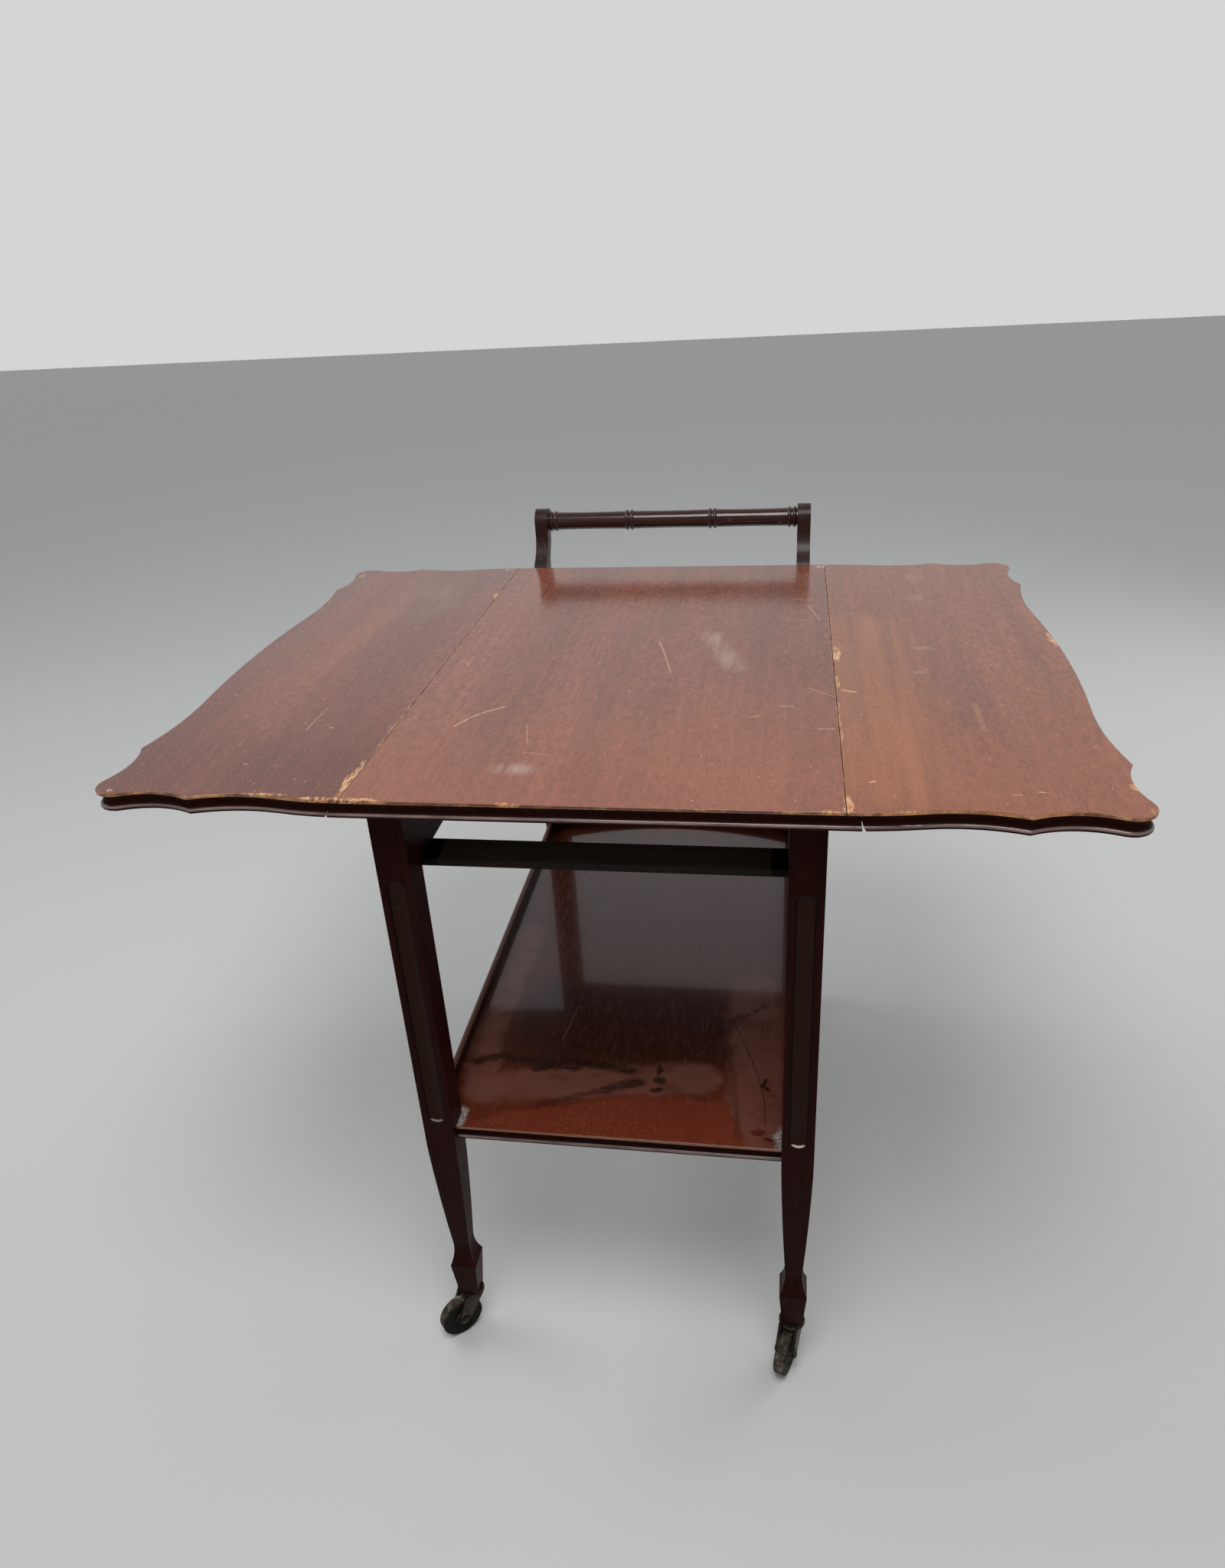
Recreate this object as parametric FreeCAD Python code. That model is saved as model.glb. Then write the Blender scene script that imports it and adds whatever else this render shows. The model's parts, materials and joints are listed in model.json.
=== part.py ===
"""Drop leaf tea trolley: a rule-jointed top with two shaped leaves on a castored frame."""
import FreeCAD
import Part
import math
import os

V = FreeCAD.Vector
UP = V(0, 0, 1)
ACROSS = V(1, 0, 0)
ALONG = V(0, 1, 0)
ORIGIN = V(0, 0, 0)

# Overall sizes, in millimetres
TOP_LENGTH = 700.0
TOP_WIDTH = 428.0
TOP_HEIGHT = 731.0
TOP_THICK = 19.0
LEAF_REACH = 240.5
OVERRUN = 2.0
WOOD_CLEAR = 0.1

# Rule joint between the top and each leaf
JOINT_FILLET = 3.0
JOINT_RADIUS = 13.4
JOINT_GAP = 0.8
LEAF_RELIEF = 3.0

# Moulded edge: a lip over a cove over a bead
LIP_THICK = 2.8
LIP_STEP = 1.2
LIP_ROUND = 1.0
COVE_DEPTH = 4.4
QUIRK_DEPTH = 3.7
BEAD_WIDTH = 5.6
BEAD_LAND = 0.4

# Leaf outline: bow, cusps and corner lobes as shares of the leaf's reach and half length
BOW_DROP = 7.0
BOW_END_SHARE = 0.40
SIDE_CUSP_SHARES = (0.998, 0.724)
END_CUSP_SHARES = (0.593, 1.0)
LOBE_RADIUS = 20.0
LOBE_INSET = 1.6
LOBE_TURN_DEG = 22.0
END_BOW_DROP = 5.5
END_BOW_SHARE = 0.263
CUSP_TURN_DEG = 6.0

# Table hinges under the rule joint
HINGE_SHARES = (-0.66, 0.0, 0.66)
HINGE_WIDTH = 26.0
HINGE_PLATE = 1.8
HINGE_SHORT_REACH = 28.0
HINGE_LONG_REACH = 42.0
HINGE_ROOT = 3.2
HINGE_SIDE_GAP = 0.3
HINGE_POCKET_EXTRA = 0.6
HINGE_PIN_RADIUS = 1.25
RUNNING_CLEAR = 0.05
HINGE_SCREW_SPACING = 13.0
HINGE_SHORT_SCREW = 19.0
HINGE_LONG_SCREW_NEAR = 20.0
HINGE_LONG_SCREW_FAR = 34.0
HINGE_SCREW_RADIUS = 1.6
HINGE_SCREW_HEAD = 3.2
HINGE_SCREW_LENGTH = 11.0

# Legs with a stopped flute and a spade foot
LEG_WIDTH = 32.0
LEG_SPREAD = 372.0
LEG_FRONT_INSET = 24.5
LEG_REAR_INSET = 5.0
TAPER_DROP = 3.0
TAPER_MID_SHARES = (0.614, 0.51)
ANKLE_HEIGHT = 146.0
ANKLE_WIDTH = 18.6
FLARE_HEIGHT = 124.0
FLARE_WIDTH = 21.4
ARRIS_HEIGHT = 111.0
ARRIS_WIDTH = 29.6
FOOT_HEIGHT = 60.0
FOOT_WIDTH = 21.6
FLUTE_WIDTH = 18.8
FLUTE_DEPTH = 2.8
FLUTE_FOOT_GAP = 14.5
FLUTE_HEAD_GAP = 4.5

# Aprons with their tenons, and the flat bearer across the open front
APRON_HEIGHT = 72.0
APRON_THICK = 20.0
RAIL_THICK = 14.0
RAIL_SETBACK = 10.0
BEARER_DEPTH = 37.5
BEARER_THICK = 7.5
BEARER_SCREW_RADIUS = 1.8
BEARER_SCREW_HEAD = 3.6
BEARER_SCREW_BITE = 14.0
BEARER_SCREW_PITCH = 18.0
RAIL_TENON = 12.0
APRON_TENON = 8.0
TENON_SHOULDER = 2.5
APRON_SHOULDER = 5.0
TENON_EDGE = 4.0
MORTISE_END_GAP = 0.8

# Blocks and screws that hold the top down
BLOCK_SHARES = (-0.84, -0.33, 0.33, 0.84)
BLOCK_LENGTH = 44.0
BLOCK_SIZE = 20.0
BLOCK_SCREW_RADIUS = 2.0
BLOCK_SCREW_HEAD = 4.0
BLOCK_SCREW_BITE = 10.0

# Lower shelf with its galleries
SHELF_HEIGHT = 322.0
SHELF_THICK = 19.0
SHELF_SETBACK = 9.5
SHELF_SIDE_INSET = 5.6
DOWEL_RADIUS = 4.0
DOWEL_LENGTH = 30.0
GALLERY_WIDTH = 6.6
GALLERY_HEIGHT = 15.6
GALLERY_SINK = 2.0
REAR_GALLERY_THICK = 10.0
REAR_GALLERY_HEIGHT = 26.0
REAR_GALLERY_DIP = 20.0
SHELF_REAR_SETBACK = 2.0

# Push handle: two shaped brackets and a turned bar
HANDLE_THICK = 18.0
HANDLE_AXIS_RISE = 53.5
HANDLE_AXIS_REACH = 53.0
HANDLE_HEAD_RADIUS = 18.0
HANDLE_EDGE_GAP = 1.0
HANDLE_FRONT_REACH = 15.0
HANDLE_FRONT_RISE = 4.0
HANDLE_FRONT_BEND_SHARES = (0.66, 0.42)
HANDLE_FRONT_NECK_RISE = 34.0
HANDLE_SWEEP_SHARES = (0.36, 0.60)
HANDLE_BACK_NECK = 20.0
HANDLE_BACK_NECK_RISE = 26.0
HANDLE_BASE_DEPTH = 25.0
HANDLE_BASE_RISE = 3.0
HANDLE_TAIL_DROP = 70.0
HANDLE_TAIL_THICK = 14.0
HANDLE_TAIL_FLAT = 30.0
HANDLE_SWELL_SHARES = (0.62, 0.36)
BAR_RADIUS = 12.6
BAR_WAIST = 0.5
BAR_TENON_RADIUS = 8.0
BAR_SHARES = (-1 / 3, 1 / 3)
RING_RADIUS = 14.4
RING_GROOVE_RADIUS = 12.2
RING_WIDTH = 5.2
RING_LAND = 1.6
HANDLE_SCREW_RADIUS = 2.2
HANDLE_SCREW_HEAD = 4.4
HANDLE_SCREW_BITE = 18.0
HANDLE_SCREW_PITCH = 16.0

# Swinging brackets that hold the leaves up
FLY_THICK = 16.0
FLY_CLEAR = 0.5
FLY_TOP_GAP = 0.4
FLY_LENGTH = 190.0
FLY_PIVOT = 95.0
FLY_HEIGHT = 46.0
FLY_TIP_HEIGHT = 17.0
FLY_HEEL_LENGTH = 62.0
FLY_OGEE_SHARE = 0.5
FLY_FINGERS = 5
FLY_FINGER_GAP = 0.3
FLY_PIN_RADIUS = 2.5
FLY_BLOCK_LENGTH = 92.0
FLY_SCREW_RADIUS = 2.2
FLY_SCREW_HEAD = 4.4
FLY_SCREW_BITE = 12.0
FLY_SCREW_SHARES = (0.42, 0.82)

# Castors
WHEEL_RADIUS = 25.0
WHEEL_WIDTH = 13.0
WHEEL_EDGE = 1.5
WHEEL_DISH_RADIUS = 17.5
WHEEL_DISH_DEPTH = 1.2
HUB_RADIUS = 8.0
HUB_WIDTH = 15.0
AXLE_RADIUS = 3.0
AXLE_HEAD_RADIUS = 5.0
AXLE_HEAD_THICK = 2.0
CASTOR_TRAIL = 18.5
FORK_SIDE_GAP = 0.5
FORK_ARM_THICK = 3.0
FORK_ARM_END = 7.0
FORK_ARM_FRONT = 9.0
FORK_ARM_BACK = 13.0
CROWN_RADIUS = 14.5
CROWN_THICK = 3.5
COLLAR_RADIUS = 13.5
COLLAR_THICK = 2.0
SWIVEL_GAP = 0.3
PINTLE_RADIUS = 4.0
PINTLE_HEAD_RADIUS = 6.5
PINTLE_HEAD_THICK = 2.5
STEM_RADIUS = 4.5
STEM_LENGTH = 40.0
CASTOR_HEADING_DEG = {"front_left": 222.0, "front_right": 251.0, "rear_left": 236.0, "rear_right": 212.0}

# Places worked out from the sizes above
HALF_LENGTH = TOP_LENGTH / 2
JOINT_X = TOP_WIDTH / 2
UNDERSIDE = TOP_HEIGHT - TOP_THICK
HINGE_Z = TOP_HEIGHT - JOINT_FILLET - JOINT_RADIUS
HINGE_RISE = HINGE_Z - UNDERSIDE
COVE_RADIUS = JOINT_RADIUS + JOINT_GAP
LEG_X = LEG_SPREAD / 2
FRAME_SHIFT = (LEG_FRONT_INSET - LEG_REAR_INSET) / 2
TOP_END_Y = HALF_LENGTH - FRAME_SHIFT
LEG_Y = TOP_END_Y - LEG_REAR_INSET - LEG_WIDTH / 2
LEG_IN_X = LEG_X - LEG_WIDTH / 2
LEG_OUT_X = LEG_X + LEG_WIDTH / 2
LEG_IN_Y = LEG_Y - LEG_WIDTH / 2
LEG_END_Y = LEG_Y + LEG_WIDTH / 2
APRON_OUT_X = LEG_IN_X + APRON_THICK
RAIL_LOW = UNDERSIDE - APRON_HEIGHT
RAIL_OUT_Y = LEG_END_Y - RAIL_SETBACK
RAIL_IN_Y = RAIL_OUT_Y - RAIL_THICK
SHELF_LOW = SHELF_HEIGHT - SHELF_THICK
SHELF_END_Y = LEG_END_Y - SHELF_SETBACK
SHELF_REAR_Y = LEG_END_Y - SHELF_REAR_SETBACK
SHELF_SIDE_X = LEG_OUT_X - SHELF_SIDE_INSET
GALLERY_LOW = SHELF_HEIGHT - GALLERY_SINK
GALLERY_IN_X = SHELF_SIDE_X - GALLERY_WIDTH
REAR_GALLERY_Y = SHELF_REAR_Y - REAR_GALLERY_THICK
TAPER_TOP = SHELF_LOW - TAPER_DROP
FLUTE_LOW = SHELF_HEIGHT + FLUTE_FOOT_GAP
FLUTE_HIGH = RAIL_LOW - FLUTE_HEAD_GAP
HANDLE_Y = TOP_END_Y + HANDLE_AXIS_REACH
HANDLE_Z = TOP_HEIGHT + HANDLE_AXIS_RISE
HANDLE_BACK_Y = HANDLE_Y + HANDLE_HEAD_RADIUS
HANDLE_IN_X = LEG_X - HANDLE_THICK / 2
FLY_X = APRON_OUT_X + FLY_CLEAR + FLY_THICK / 2
FLY_TOP = UNDERSIDE - FLY_TOP_GAP
FLY_LOW = FLY_TOP - FLY_HEIGHT
SIDES = {"left": -1, "right": 1}
ENDS = {"front": -1, "rear": 1}


def front_reach():
    """How far the trolley reaches forward: to the top's edge or to a front wheel."""
    reaches = [HALF_LENGTH]
    for corner, heading in CASTOR_HEADING_DEG.items():
        if corner.startswith("front"):
            ahead = -math.sin(math.radians(heading))
            aside = abs(math.cos(math.radians(heading)))
            tread = (WHEEL_WIDTH / 2 - WHEEL_EDGE) * aside
            reaches.append(LEG_Y - FRAME_SHIFT + (CASTOR_TRAIL + WHEEL_RADIUS) * ahead + tread)
    return max(reaches)


TOP_SHIFT = ALONG * ((front_reach() - HANDLE_BACK_Y - FRAME_SHIFT) / 2)


def save(name, shape):
    """Write one node of the top, moved so that the origin is under the middle of the whole trolley."""
    moved = shape.copy()
    moved.translate(TOP_SHIFT)
    moved.exportStep("parts/" + name + ".step")


def to_top(shape):
    """Move a shape of the frame, drawn about the frame's own middle, to its place under the top."""
    moved = shape.copy()
    moved.translate(ALONG * FRAME_SHIFT)
    return moved


def save_frame(name, shape):
    save(name, to_top(shape))


def box(low, high):
    """Block between two opposite corners."""
    size = high - low
    return Part.makeBox(size.x, size.y, size.z, low)


def line(start, end):
    return Part.LineSegment(start, end).toShape()


def arc(start, middle, end):
    return Part.Arc(start, middle, end).toShape()


def prism(edges, direction):
    """Solid swept straight from a closed outline."""
    return Part.Face(Part.Wire(edges)).extrude(direction)


def polyline(points):
    return [line(a, b) for a, b in zip(points, points[1:])]


def flip_x(shape):
    return shape.mirror(ORIGIN, ACROSS)


def flip_y(shape):
    return shape.mirror(ORIGIN, ALONG)


def to_corner(shape, side, end):
    """Mirror a shape made at the right rear corner to any of the four corners."""
    moved = shape if side > 0 else flip_x(shape)
    return moved if end > 0 else flip_y(moved)


def countersunk_screw(radius, head, length, tip, direction):
    """Flat-headed screw whose head is flush at tip, driven along direction."""
    cone = head - radius
    outline = [V(0, 0, 0), V(head, 0, 0), V(radius, 0, cone), V(radius, 0, length - radius)]
    outline += [V(0, 0, length), V(0, 0, 0)]
    screw = Part.Face(Part.makePolygon(outline)).revolve(ORIGIN, UP, 360)
    screw.Placement = FreeCAD.Placement(tip, FreeCAD.Rotation(UP, direction))
    return screw


def screw_hole(radius, head, length, tip, direction):
    """Room for such a screw, a hair wider all over and open at the head."""
    wide = countersunk_screw(radius + RUNNING_CLEAR, head + RUNNING_CLEAR, length + WOOD_CLEAR,
                             tip, direction)
    return wide


def tangent_arc(start, direction, end):
    """Arc that leaves start along direction and reaches end."""
    chord = end - start
    normal = UP.cross(direction)
    centre = start + normal * (chord.Length ** 2 / (2 * chord.dot(normal)))
    radius = (start - centre).Length
    middle = centre + ((start + end) * 0.5 - centre).normalize() * radius
    return arc(start, middle, end)


def moulding_section(place, thick):
    """Face of the waste that leaves lip, cove and bead; place maps depth and height to a point."""
    lip_low = thick - LIP_THICK
    bead_top = BEAD_LAND + BEAD_WIDTH
    bead_mid = BEAD_LAND + BEAD_WIDTH / 2
    step = place(LIP_STEP, lip_low)
    quirk = place(QUIRK_DEPTH, bead_top)
    land = place(QUIRK_DEPTH, BEAD_LAND)
    cove_mid = place(COVE_DEPTH, (lip_low + bead_top) / 2)
    crest = place(QUIRK_DEPTH - BEAD_WIDTH / 2, bead_mid)
    outside = [land, place(QUIRK_DEPTH, -OVERRUN), place(-OVERRUN, -OVERRUN), place(-OVERRUN, lip_low), step]
    edges = [arc(step, cove_mid, quirk), arc(quirk, crest, land)] + polyline(outside)
    return Part.Face(Part.Wire(edges))


def round_section(place, thick):
    """Face of the waste that rounds the top of the lip."""
    side = place(0, thick - LIP_ROUND)
    crest = place(LIP_ROUND, thick)
    slant = LIP_ROUND * (1 - math.sqrt(0.5))
    outside = [crest, place(LIP_ROUND, thick + OVERRUN), place(-OVERRUN, thick + OVERRUN),
               place(-OVERRUN, thick - LIP_ROUND), side]
    edges = [arc(side, place(slant, thick - slant), crest)] + polyline(outside)
    return Part.Face(Part.Wire(edges))


def straight_moulding(half_width, edge_y, low, thick):
    """Waste of a moulded edge that runs across the trolley at edge_y."""
    start_x = -half_width - OVERRUN

    def place(depth, height):
        return V(start_x, edge_y - depth, low + height)

    run = ACROSS * (2 * (half_width + OVERRUN))
    sections = [moulding_section(place, thick), round_section(place, thick)]
    return [section.extrude(run) for section in sections]


def arc_moulding(edge, inside, extend_deg, low, thick):
    """Waste of a moulded edge along one arc; inside says whether the wood is on the centre's side."""
    centre = V(edge.Curve.Center.x, edge.Curve.Center.y, low)
    radius = edge.Curve.Radius
    first = edge.Vertexes[0].Point - edge.Curve.Center
    last = edge.Vertexes[-1].Point - edge.Curve.Center
    turn = math.degrees(first.getAngle(last))
    sense = 1 if first.cross(last).z > 0 else -1
    inward = -1 if inside else 1
    radial = V(first).normalize()

    def place(depth, height):
        return centre + radial * (radius + inward * depth) + UP * height

    sweep = sense * (turn + extend_deg)
    sections = [moulding_section(place, thick), round_section(place, thick)]
    return [section.revolve(centre, UP, sweep) for section in sections]


def leaf_outline():
    """Half outline of the right leaf, from the middle of its bow to the joint at the rear end.

    Each entry is an arc, whether the wood lies on its centre's side, and how far its moulding runs on.
    """
    def point(shares):
        return V(JOINT_X + LEAF_REACH * shares[0], HALF_LENGTH * shares[1], 0)

    crest_x = JOINT_X + LEAF_REACH
    side_cusp = point(SIDE_CUSP_SHARES)
    end_cusp = point(END_CUSP_SHARES)
    bow_end_y = HALF_LENGTH * BOW_END_SHARE
    bow_end = V(crest_x - BOW_DROP, bow_end_y, 0)
    bow_turn = 2 * math.atan2(BOW_DROP, bow_end_y)
    bow_way = V(-math.sin(bow_turn), math.cos(bow_turn), 0)
    lobe = V(crest_x - LOBE_INSET - LOBE_RADIUS, HALF_LENGTH - LOBE_INSET - LOBE_RADIUS, 0)
    turn = math.radians(LOBE_TURN_DEG)
    lobe_low = lobe + V(math.cos(turn), -math.sin(turn), 0) * LOBE_RADIUS
    lobe_high = lobe + V(-math.sin(turn), math.cos(turn), 0) * LOBE_RADIUS
    lobe_tip = lobe + V(1, 1, 0).normalize() * LOBE_RADIUS
    end_run = LEAF_REACH * END_BOW_SHARE
    end_bow = V(JOINT_X + end_run, HALF_LENGTH - END_BOW_DROP, 0)
    end_turn = 2 * math.atan2(END_BOW_DROP, end_run)
    end_way = V(math.cos(end_turn), -math.sin(end_turn), 0)
    joint = V(JOINT_X, HALF_LENGTH, 0)
    return [
        (tangent_arc(bow_end, bow_way, side_cusp), False, CUSP_TURN_DEG),
        (tangent_arc(lobe_low, V(-math.sin(turn), -math.cos(turn), 0), side_cusp), False, CUSP_TURN_DEG),
        (arc(lobe_low, lobe_tip, lobe_high), True, 0),
        (tangent_arc(lobe_high, V(-math.cos(turn), -math.sin(turn), 0), end_cusp), False, CUSP_TURN_DEG),
        (tangent_arc(end_bow, end_way, end_cusp), False, CUSP_TURN_DEG),
        (tangent_arc(joint, ACROSS, end_bow), True, 0),
    ]


def leaf_bow():
    """Bowed middle of the leaf's long edge."""
    end_x = JOINT_X + LEAF_REACH - BOW_DROP
    end_y = HALF_LENGTH * BOW_END_SHARE
    return arc(V(end_x, -end_y, 0), V(JOINT_X + LEAF_REACH, 0, 0), V(end_x, end_y, 0))


def make_leaf():
    """Right leaf, raised: shaped and moulded outline, hollowed to ride round the top's edge."""
    half = [entry[0] for entry in leaf_outline()]
    outline = [leaf_bow()] + half + [flip_y(edge) for edge in half]
    outline.append(line(V(JOINT_X, -HALF_LENGTH, 0), V(JOINT_X, HALF_LENGTH, 0)))
    wire = Part.Wire(Part.__sortEdges__(outline))
    leaf = Part.Face(wire).extrude(UP * TOP_THICK)
    leaf.translate(UP * UNDERSIDE)
    waste = arc_moulding(leaf_bow(), True, 0, UNDERSIDE, TOP_THICK)
    for edge, inside, extend_deg in leaf_outline():
        tools = arc_moulding(edge, inside, extend_deg, UNDERSIDE, TOP_THICK)
        waste += tools + [flip_y(tool) for tool in tools]
    start_y = -HALF_LENGTH - OVERRUN
    run = TOP_LENGTH + 2 * OVERRUN
    waste.append(Part.makeCylinder(COVE_RADIUS, run, V(JOINT_X, start_y, HINGE_Z), ALONG))
    waste.append(box(V(JOINT_X - OVERRUN, start_y, UNDERSIDE - OVERRUN),
                     V(JOINT_X + JOINT_GAP, start_y + run, TOP_HEIGHT + OVERRUN)))
    relief = [V(JOINT_X, start_y, UNDERSIDE), V(JOINT_X + COVE_RADIUS + LEAF_RELIEF, start_y, UNDERSIDE),
              V(JOINT_X + COVE_RADIUS, start_y, HINGE_Z + LEAF_RELIEF), V(JOINT_X, start_y, HINGE_Z)]
    waste.append(prism(polyline(relief + relief[:1]), ALONG * run))
    for share in HINGE_SHARES:
        y = share * LEG_IN_Y
        waste.append(box(V(JOINT_X, y - HINGE_WIDTH / 2, UNDERSIDE - OVERRUN),
                         V(JOINT_X + HINGE_LONG_REACH, y + HINGE_WIDTH / 2, UNDERSIDE + HINGE_PLATE)))
    waste += [screw_hole(*spec) for spec in hinge_screw_specs("leaf")]
    return leaf.cut(waste)


def make_top():
    """Fixed top: quarter-round edges at the leaves, moulded ends, hinges let in underneath."""
    foot_x = JOINT_X + math.sqrt(JOINT_RADIUS ** 2 - HINGE_RISE ** 2)
    fillet_z = TOP_HEIGHT - JOINT_FILLET
    slant = math.sqrt(0.5) * JOINT_RADIUS
    y = -HALF_LENGTH
    edges = polyline([V(-JOINT_X, y, fillet_z), V(-JOINT_X, y, TOP_HEIGHT),
                      V(JOINT_X, y, TOP_HEIGHT), V(JOINT_X, y, fillet_z)])
    ovolo = arc(V(JOINT_X, y, fillet_z), V(JOINT_X + slant, y, HINGE_Z + slant), V(foot_x, y, UNDERSIDE))
    edges.append(ovolo)
    edges.append(line(V(foot_x, y, UNDERSIDE), V(-foot_x, y, UNDERSIDE)))
    edges.append(flip_x(ovolo))
    edges = Part.__sortEdges__(edges)
    top = prism(edges, ALONG * TOP_LENGTH)
    moulding = straight_moulding(JOINT_X + JOINT_RADIUS, HALF_LENGTH, UNDERSIDE, TOP_THICK)
    waste = moulding + [flip_y(tool) for tool in moulding]
    under = UNDERSIDE - OVERRUN
    half = HINGE_WIDTH / 2
    for share in HINGE_SHARES:
        y = share * LEG_IN_Y
        room = half + HINGE_SIDE_GAP
        groove = HINGE_RISE + HINGE_POCKET_EXTRA
        pockets = [
            box(V(JOINT_X - HINGE_SHORT_REACH, y - half, under),
                V(JOINT_X - HINGE_ROOT, y + half, UNDERSIDE + HINGE_PLATE)),
            box(V(JOINT_X - HINGE_ROOT - JOINT_GAP, y - room, under),
                V(JOINT_X + JOINT_RADIUS + OVERRUN, y + room, UNDERSIDE + HINGE_PLATE + HINGE_POCKET_EXTRA)),
            Part.makeCylinder(groove, 2 * room, V(JOINT_X, y - room, HINGE_Z), ALONG),
        ]
        waste += pockets + [flip_x(pocket) for pocket in pockets]
    holes = [screw_hole(*spec) for spec in hinge_screw_specs("top")]
    waste += holes + [flip_x(hole) for hole in holes]
    waste += [to_top(screw_hole(*spec)) for spec in block_screw_specs()]
    return top.cut(waste)


def hinge_plate(y, way):
    """One hinge plate of the right-hand joint: way -1 under the top, +1 under the leaf."""
    third = HINGE_WIDTH / 3
    reach = HINGE_LONG_REACH if way > 0 else HINGE_SHORT_REACH
    ends = sorted([JOINT_X + way * HINGE_ROOT, JOINT_X + way * reach])
    root = sorted([JOINT_X, JOINT_X + way * HINGE_ROOT])
    half = HINGE_WIDTH / 2
    top_z = UNDERSIDE + HINGE_PLATE
    plate = box(V(ends[0], y - half, UNDERSIDE), V(ends[1], y + half, top_z))
    if way > 0:
        spans = [(y - third / 2 + HINGE_SIDE_GAP, y + third / 2 - HINGE_SIDE_GAP)]
    else:
        spans = [(y - half, y - third / 2), (y + third / 2, y + half)]
    pieces = []
    for low_y, high_y in spans:
        pieces.append(box(V(root[0], low_y, UNDERSIDE), V(root[1], high_y, top_z)))
        pieces.append(Part.makeCylinder(HINGE_RISE, high_y - low_y, V(JOINT_X, low_y, HINGE_Z), ALONG))
    bore = Part.makeCylinder(HINGE_PIN_RADIUS + RUNNING_CLEAR, HINGE_WIDTH + 2 * OVERRUN,
                             V(JOINT_X, y - half - OVERRUN, HINGE_Z), ALONG)
    holes = [screw_hole(*spec) for spec in hinge_screw_specs("leaf" if way > 0 else "top")]
    return plate.fuse(pieces).removeSplitter().cut([bore] + holes)


def hinge_screw_specs(which):
    """Size and place of each hinge screw of the right-hand joint."""
    specs = []
    for share in HINGE_SHARES:
        y = share * LEG_IN_Y
        side = HINGE_SCREW_SPACING / 2
        if which == "top":
            places = [(JOINT_X - HINGE_SHORT_SCREW, y - side), (JOINT_X - HINGE_SHORT_SCREW, y + side)]
        else:
            near_x = JOINT_X + HINGE_LONG_SCREW_NEAR
            places = [(near_x, y - side), (near_x, y + side), (JOINT_X + HINGE_LONG_SCREW_FAR, y)]
        for x, place_y in places:
            specs.append((HINGE_SCREW_RADIUS, HINGE_SCREW_HEAD, HINGE_SCREW_LENGTH,
                          V(x, place_y, UNDERSIDE), UP))
    return specs


def hinge_pins():
    """Pins of the right-hand joint."""
    return [Part.makeCylinder(HINGE_PIN_RADIUS, HINGE_WIDTH,
                              V(JOINT_X, share * LEG_IN_Y - HINGE_WIDTH / 2, HINGE_Z), ALONG)
            for share in HINGE_SHARES]


def leg_profile(way):
    """Outline of the leg seen square on, spread along the given direction."""
    def at(width, height):
        return way * (width / 2) + UP * height

    knee = at(LEG_WIDTH, TAPER_TOP)
    ankle = at(ANKLE_WIDTH, ANKLE_HEIGHT)
    arris = at(ARRIS_WIDTH, ARRIS_HEIGHT)
    wide_share, high_share = TAPER_MID_SHARES
    calf = at(ANKLE_WIDTH + (LEG_WIDTH - ANKLE_WIDTH) * wide_share,
              ANKLE_HEIGHT + (TAPER_TOP - ANKLE_HEIGHT) * high_share)
    half = [line(at(LEG_WIDTH, UNDERSIDE), knee)]
    half.append(arc(knee, calf, ankle))
    half.append(arc(ankle, at(FLARE_WIDTH, FLARE_HEIGHT), arris))
    half.append(line(arris, at(FOOT_WIDTH, FOOT_HEIGHT)))
    other = [edge.mirror(ORIGIN, way) for edge in half]
    caps = [line(at(LEG_WIDTH, UNDERSIDE), at(-LEG_WIDTH, UNDERSIDE)),
            line(at(FOOT_WIDTH, FOOT_HEIGHT), at(-FOOT_WIDTH, FOOT_HEIGHT))]
    depth = UP.cross(way) * (LEG_WIDTH + 2 * OVERRUN)
    solid = prism(Part.__sortEdges__(half + other + caps), depth)
    solid.translate(depth * -0.5)
    return solid


def flute():
    """Stopped hollow on the leg's end face: a round-nosed cut with rounded ends."""
    radius = ((FLUTE_WIDTH / 2) ** 2 + FLUTE_DEPTH ** 2) / (2 * FLUTE_DEPTH)
    y = LEG_WIDTH / 2 + radius - FLUTE_DEPTH
    low = V(0, y, FLUTE_LOW + FLUTE_WIDTH / 2)
    high = V(0, y, FLUTE_HIGH - FLUTE_WIDTH / 2)
    rod = Part.makeCylinder(radius, high.z - low.z, low, UP)
    return [rod, Part.makeSphere(radius, low), Part.makeSphere(radius, high)]


def side_tenon(grow):
    """Tenon of the right side apron at its rear end, or its mortise when grown."""
    gap = MORTISE_END_GAP if grow else 0
    out_x = APRON_OUT_X - APRON_SHOULDER + grow
    return box(V(LEG_IN_X + APRON_SHOULDER - grow, LEG_IN_Y - grow, RAIL_LOW + TENON_EDGE - grow),
               V(out_x, LEG_IN_Y + APRON_TENON + gap, UNDERSIDE - TENON_EDGE + grow))


def rear_tenon(grow):
    """Tenon of the rear apron at its right end, or its mortise when grown."""
    gap = MORTISE_END_GAP if grow else 0
    out_y = RAIL_OUT_Y - TENON_SHOULDER + grow
    return box(V(LEG_IN_X - grow, RAIL_IN_Y + TENON_SHOULDER - grow, RAIL_LOW + TENON_EDGE - grow),
               V(LEG_IN_X + RAIL_TENON + gap, out_y, UNDERSIDE - TENON_EDGE + grow))


def shelf_dowel(grow):
    """Dowel between the shelf and the right rear leg, or its hole when grown."""
    start = LEG_IN_X - DOWEL_LENGTH / 2 - grow
    return Part.makeCylinder(DOWEL_RADIUS + grow, DOWEL_LENGTH + 2 * grow,
                             V(start, (LEG_IN_Y + SHELF_END_Y) / 2, SHELF_HEIGHT - SHELF_THICK / 2), ACROSS)


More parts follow.
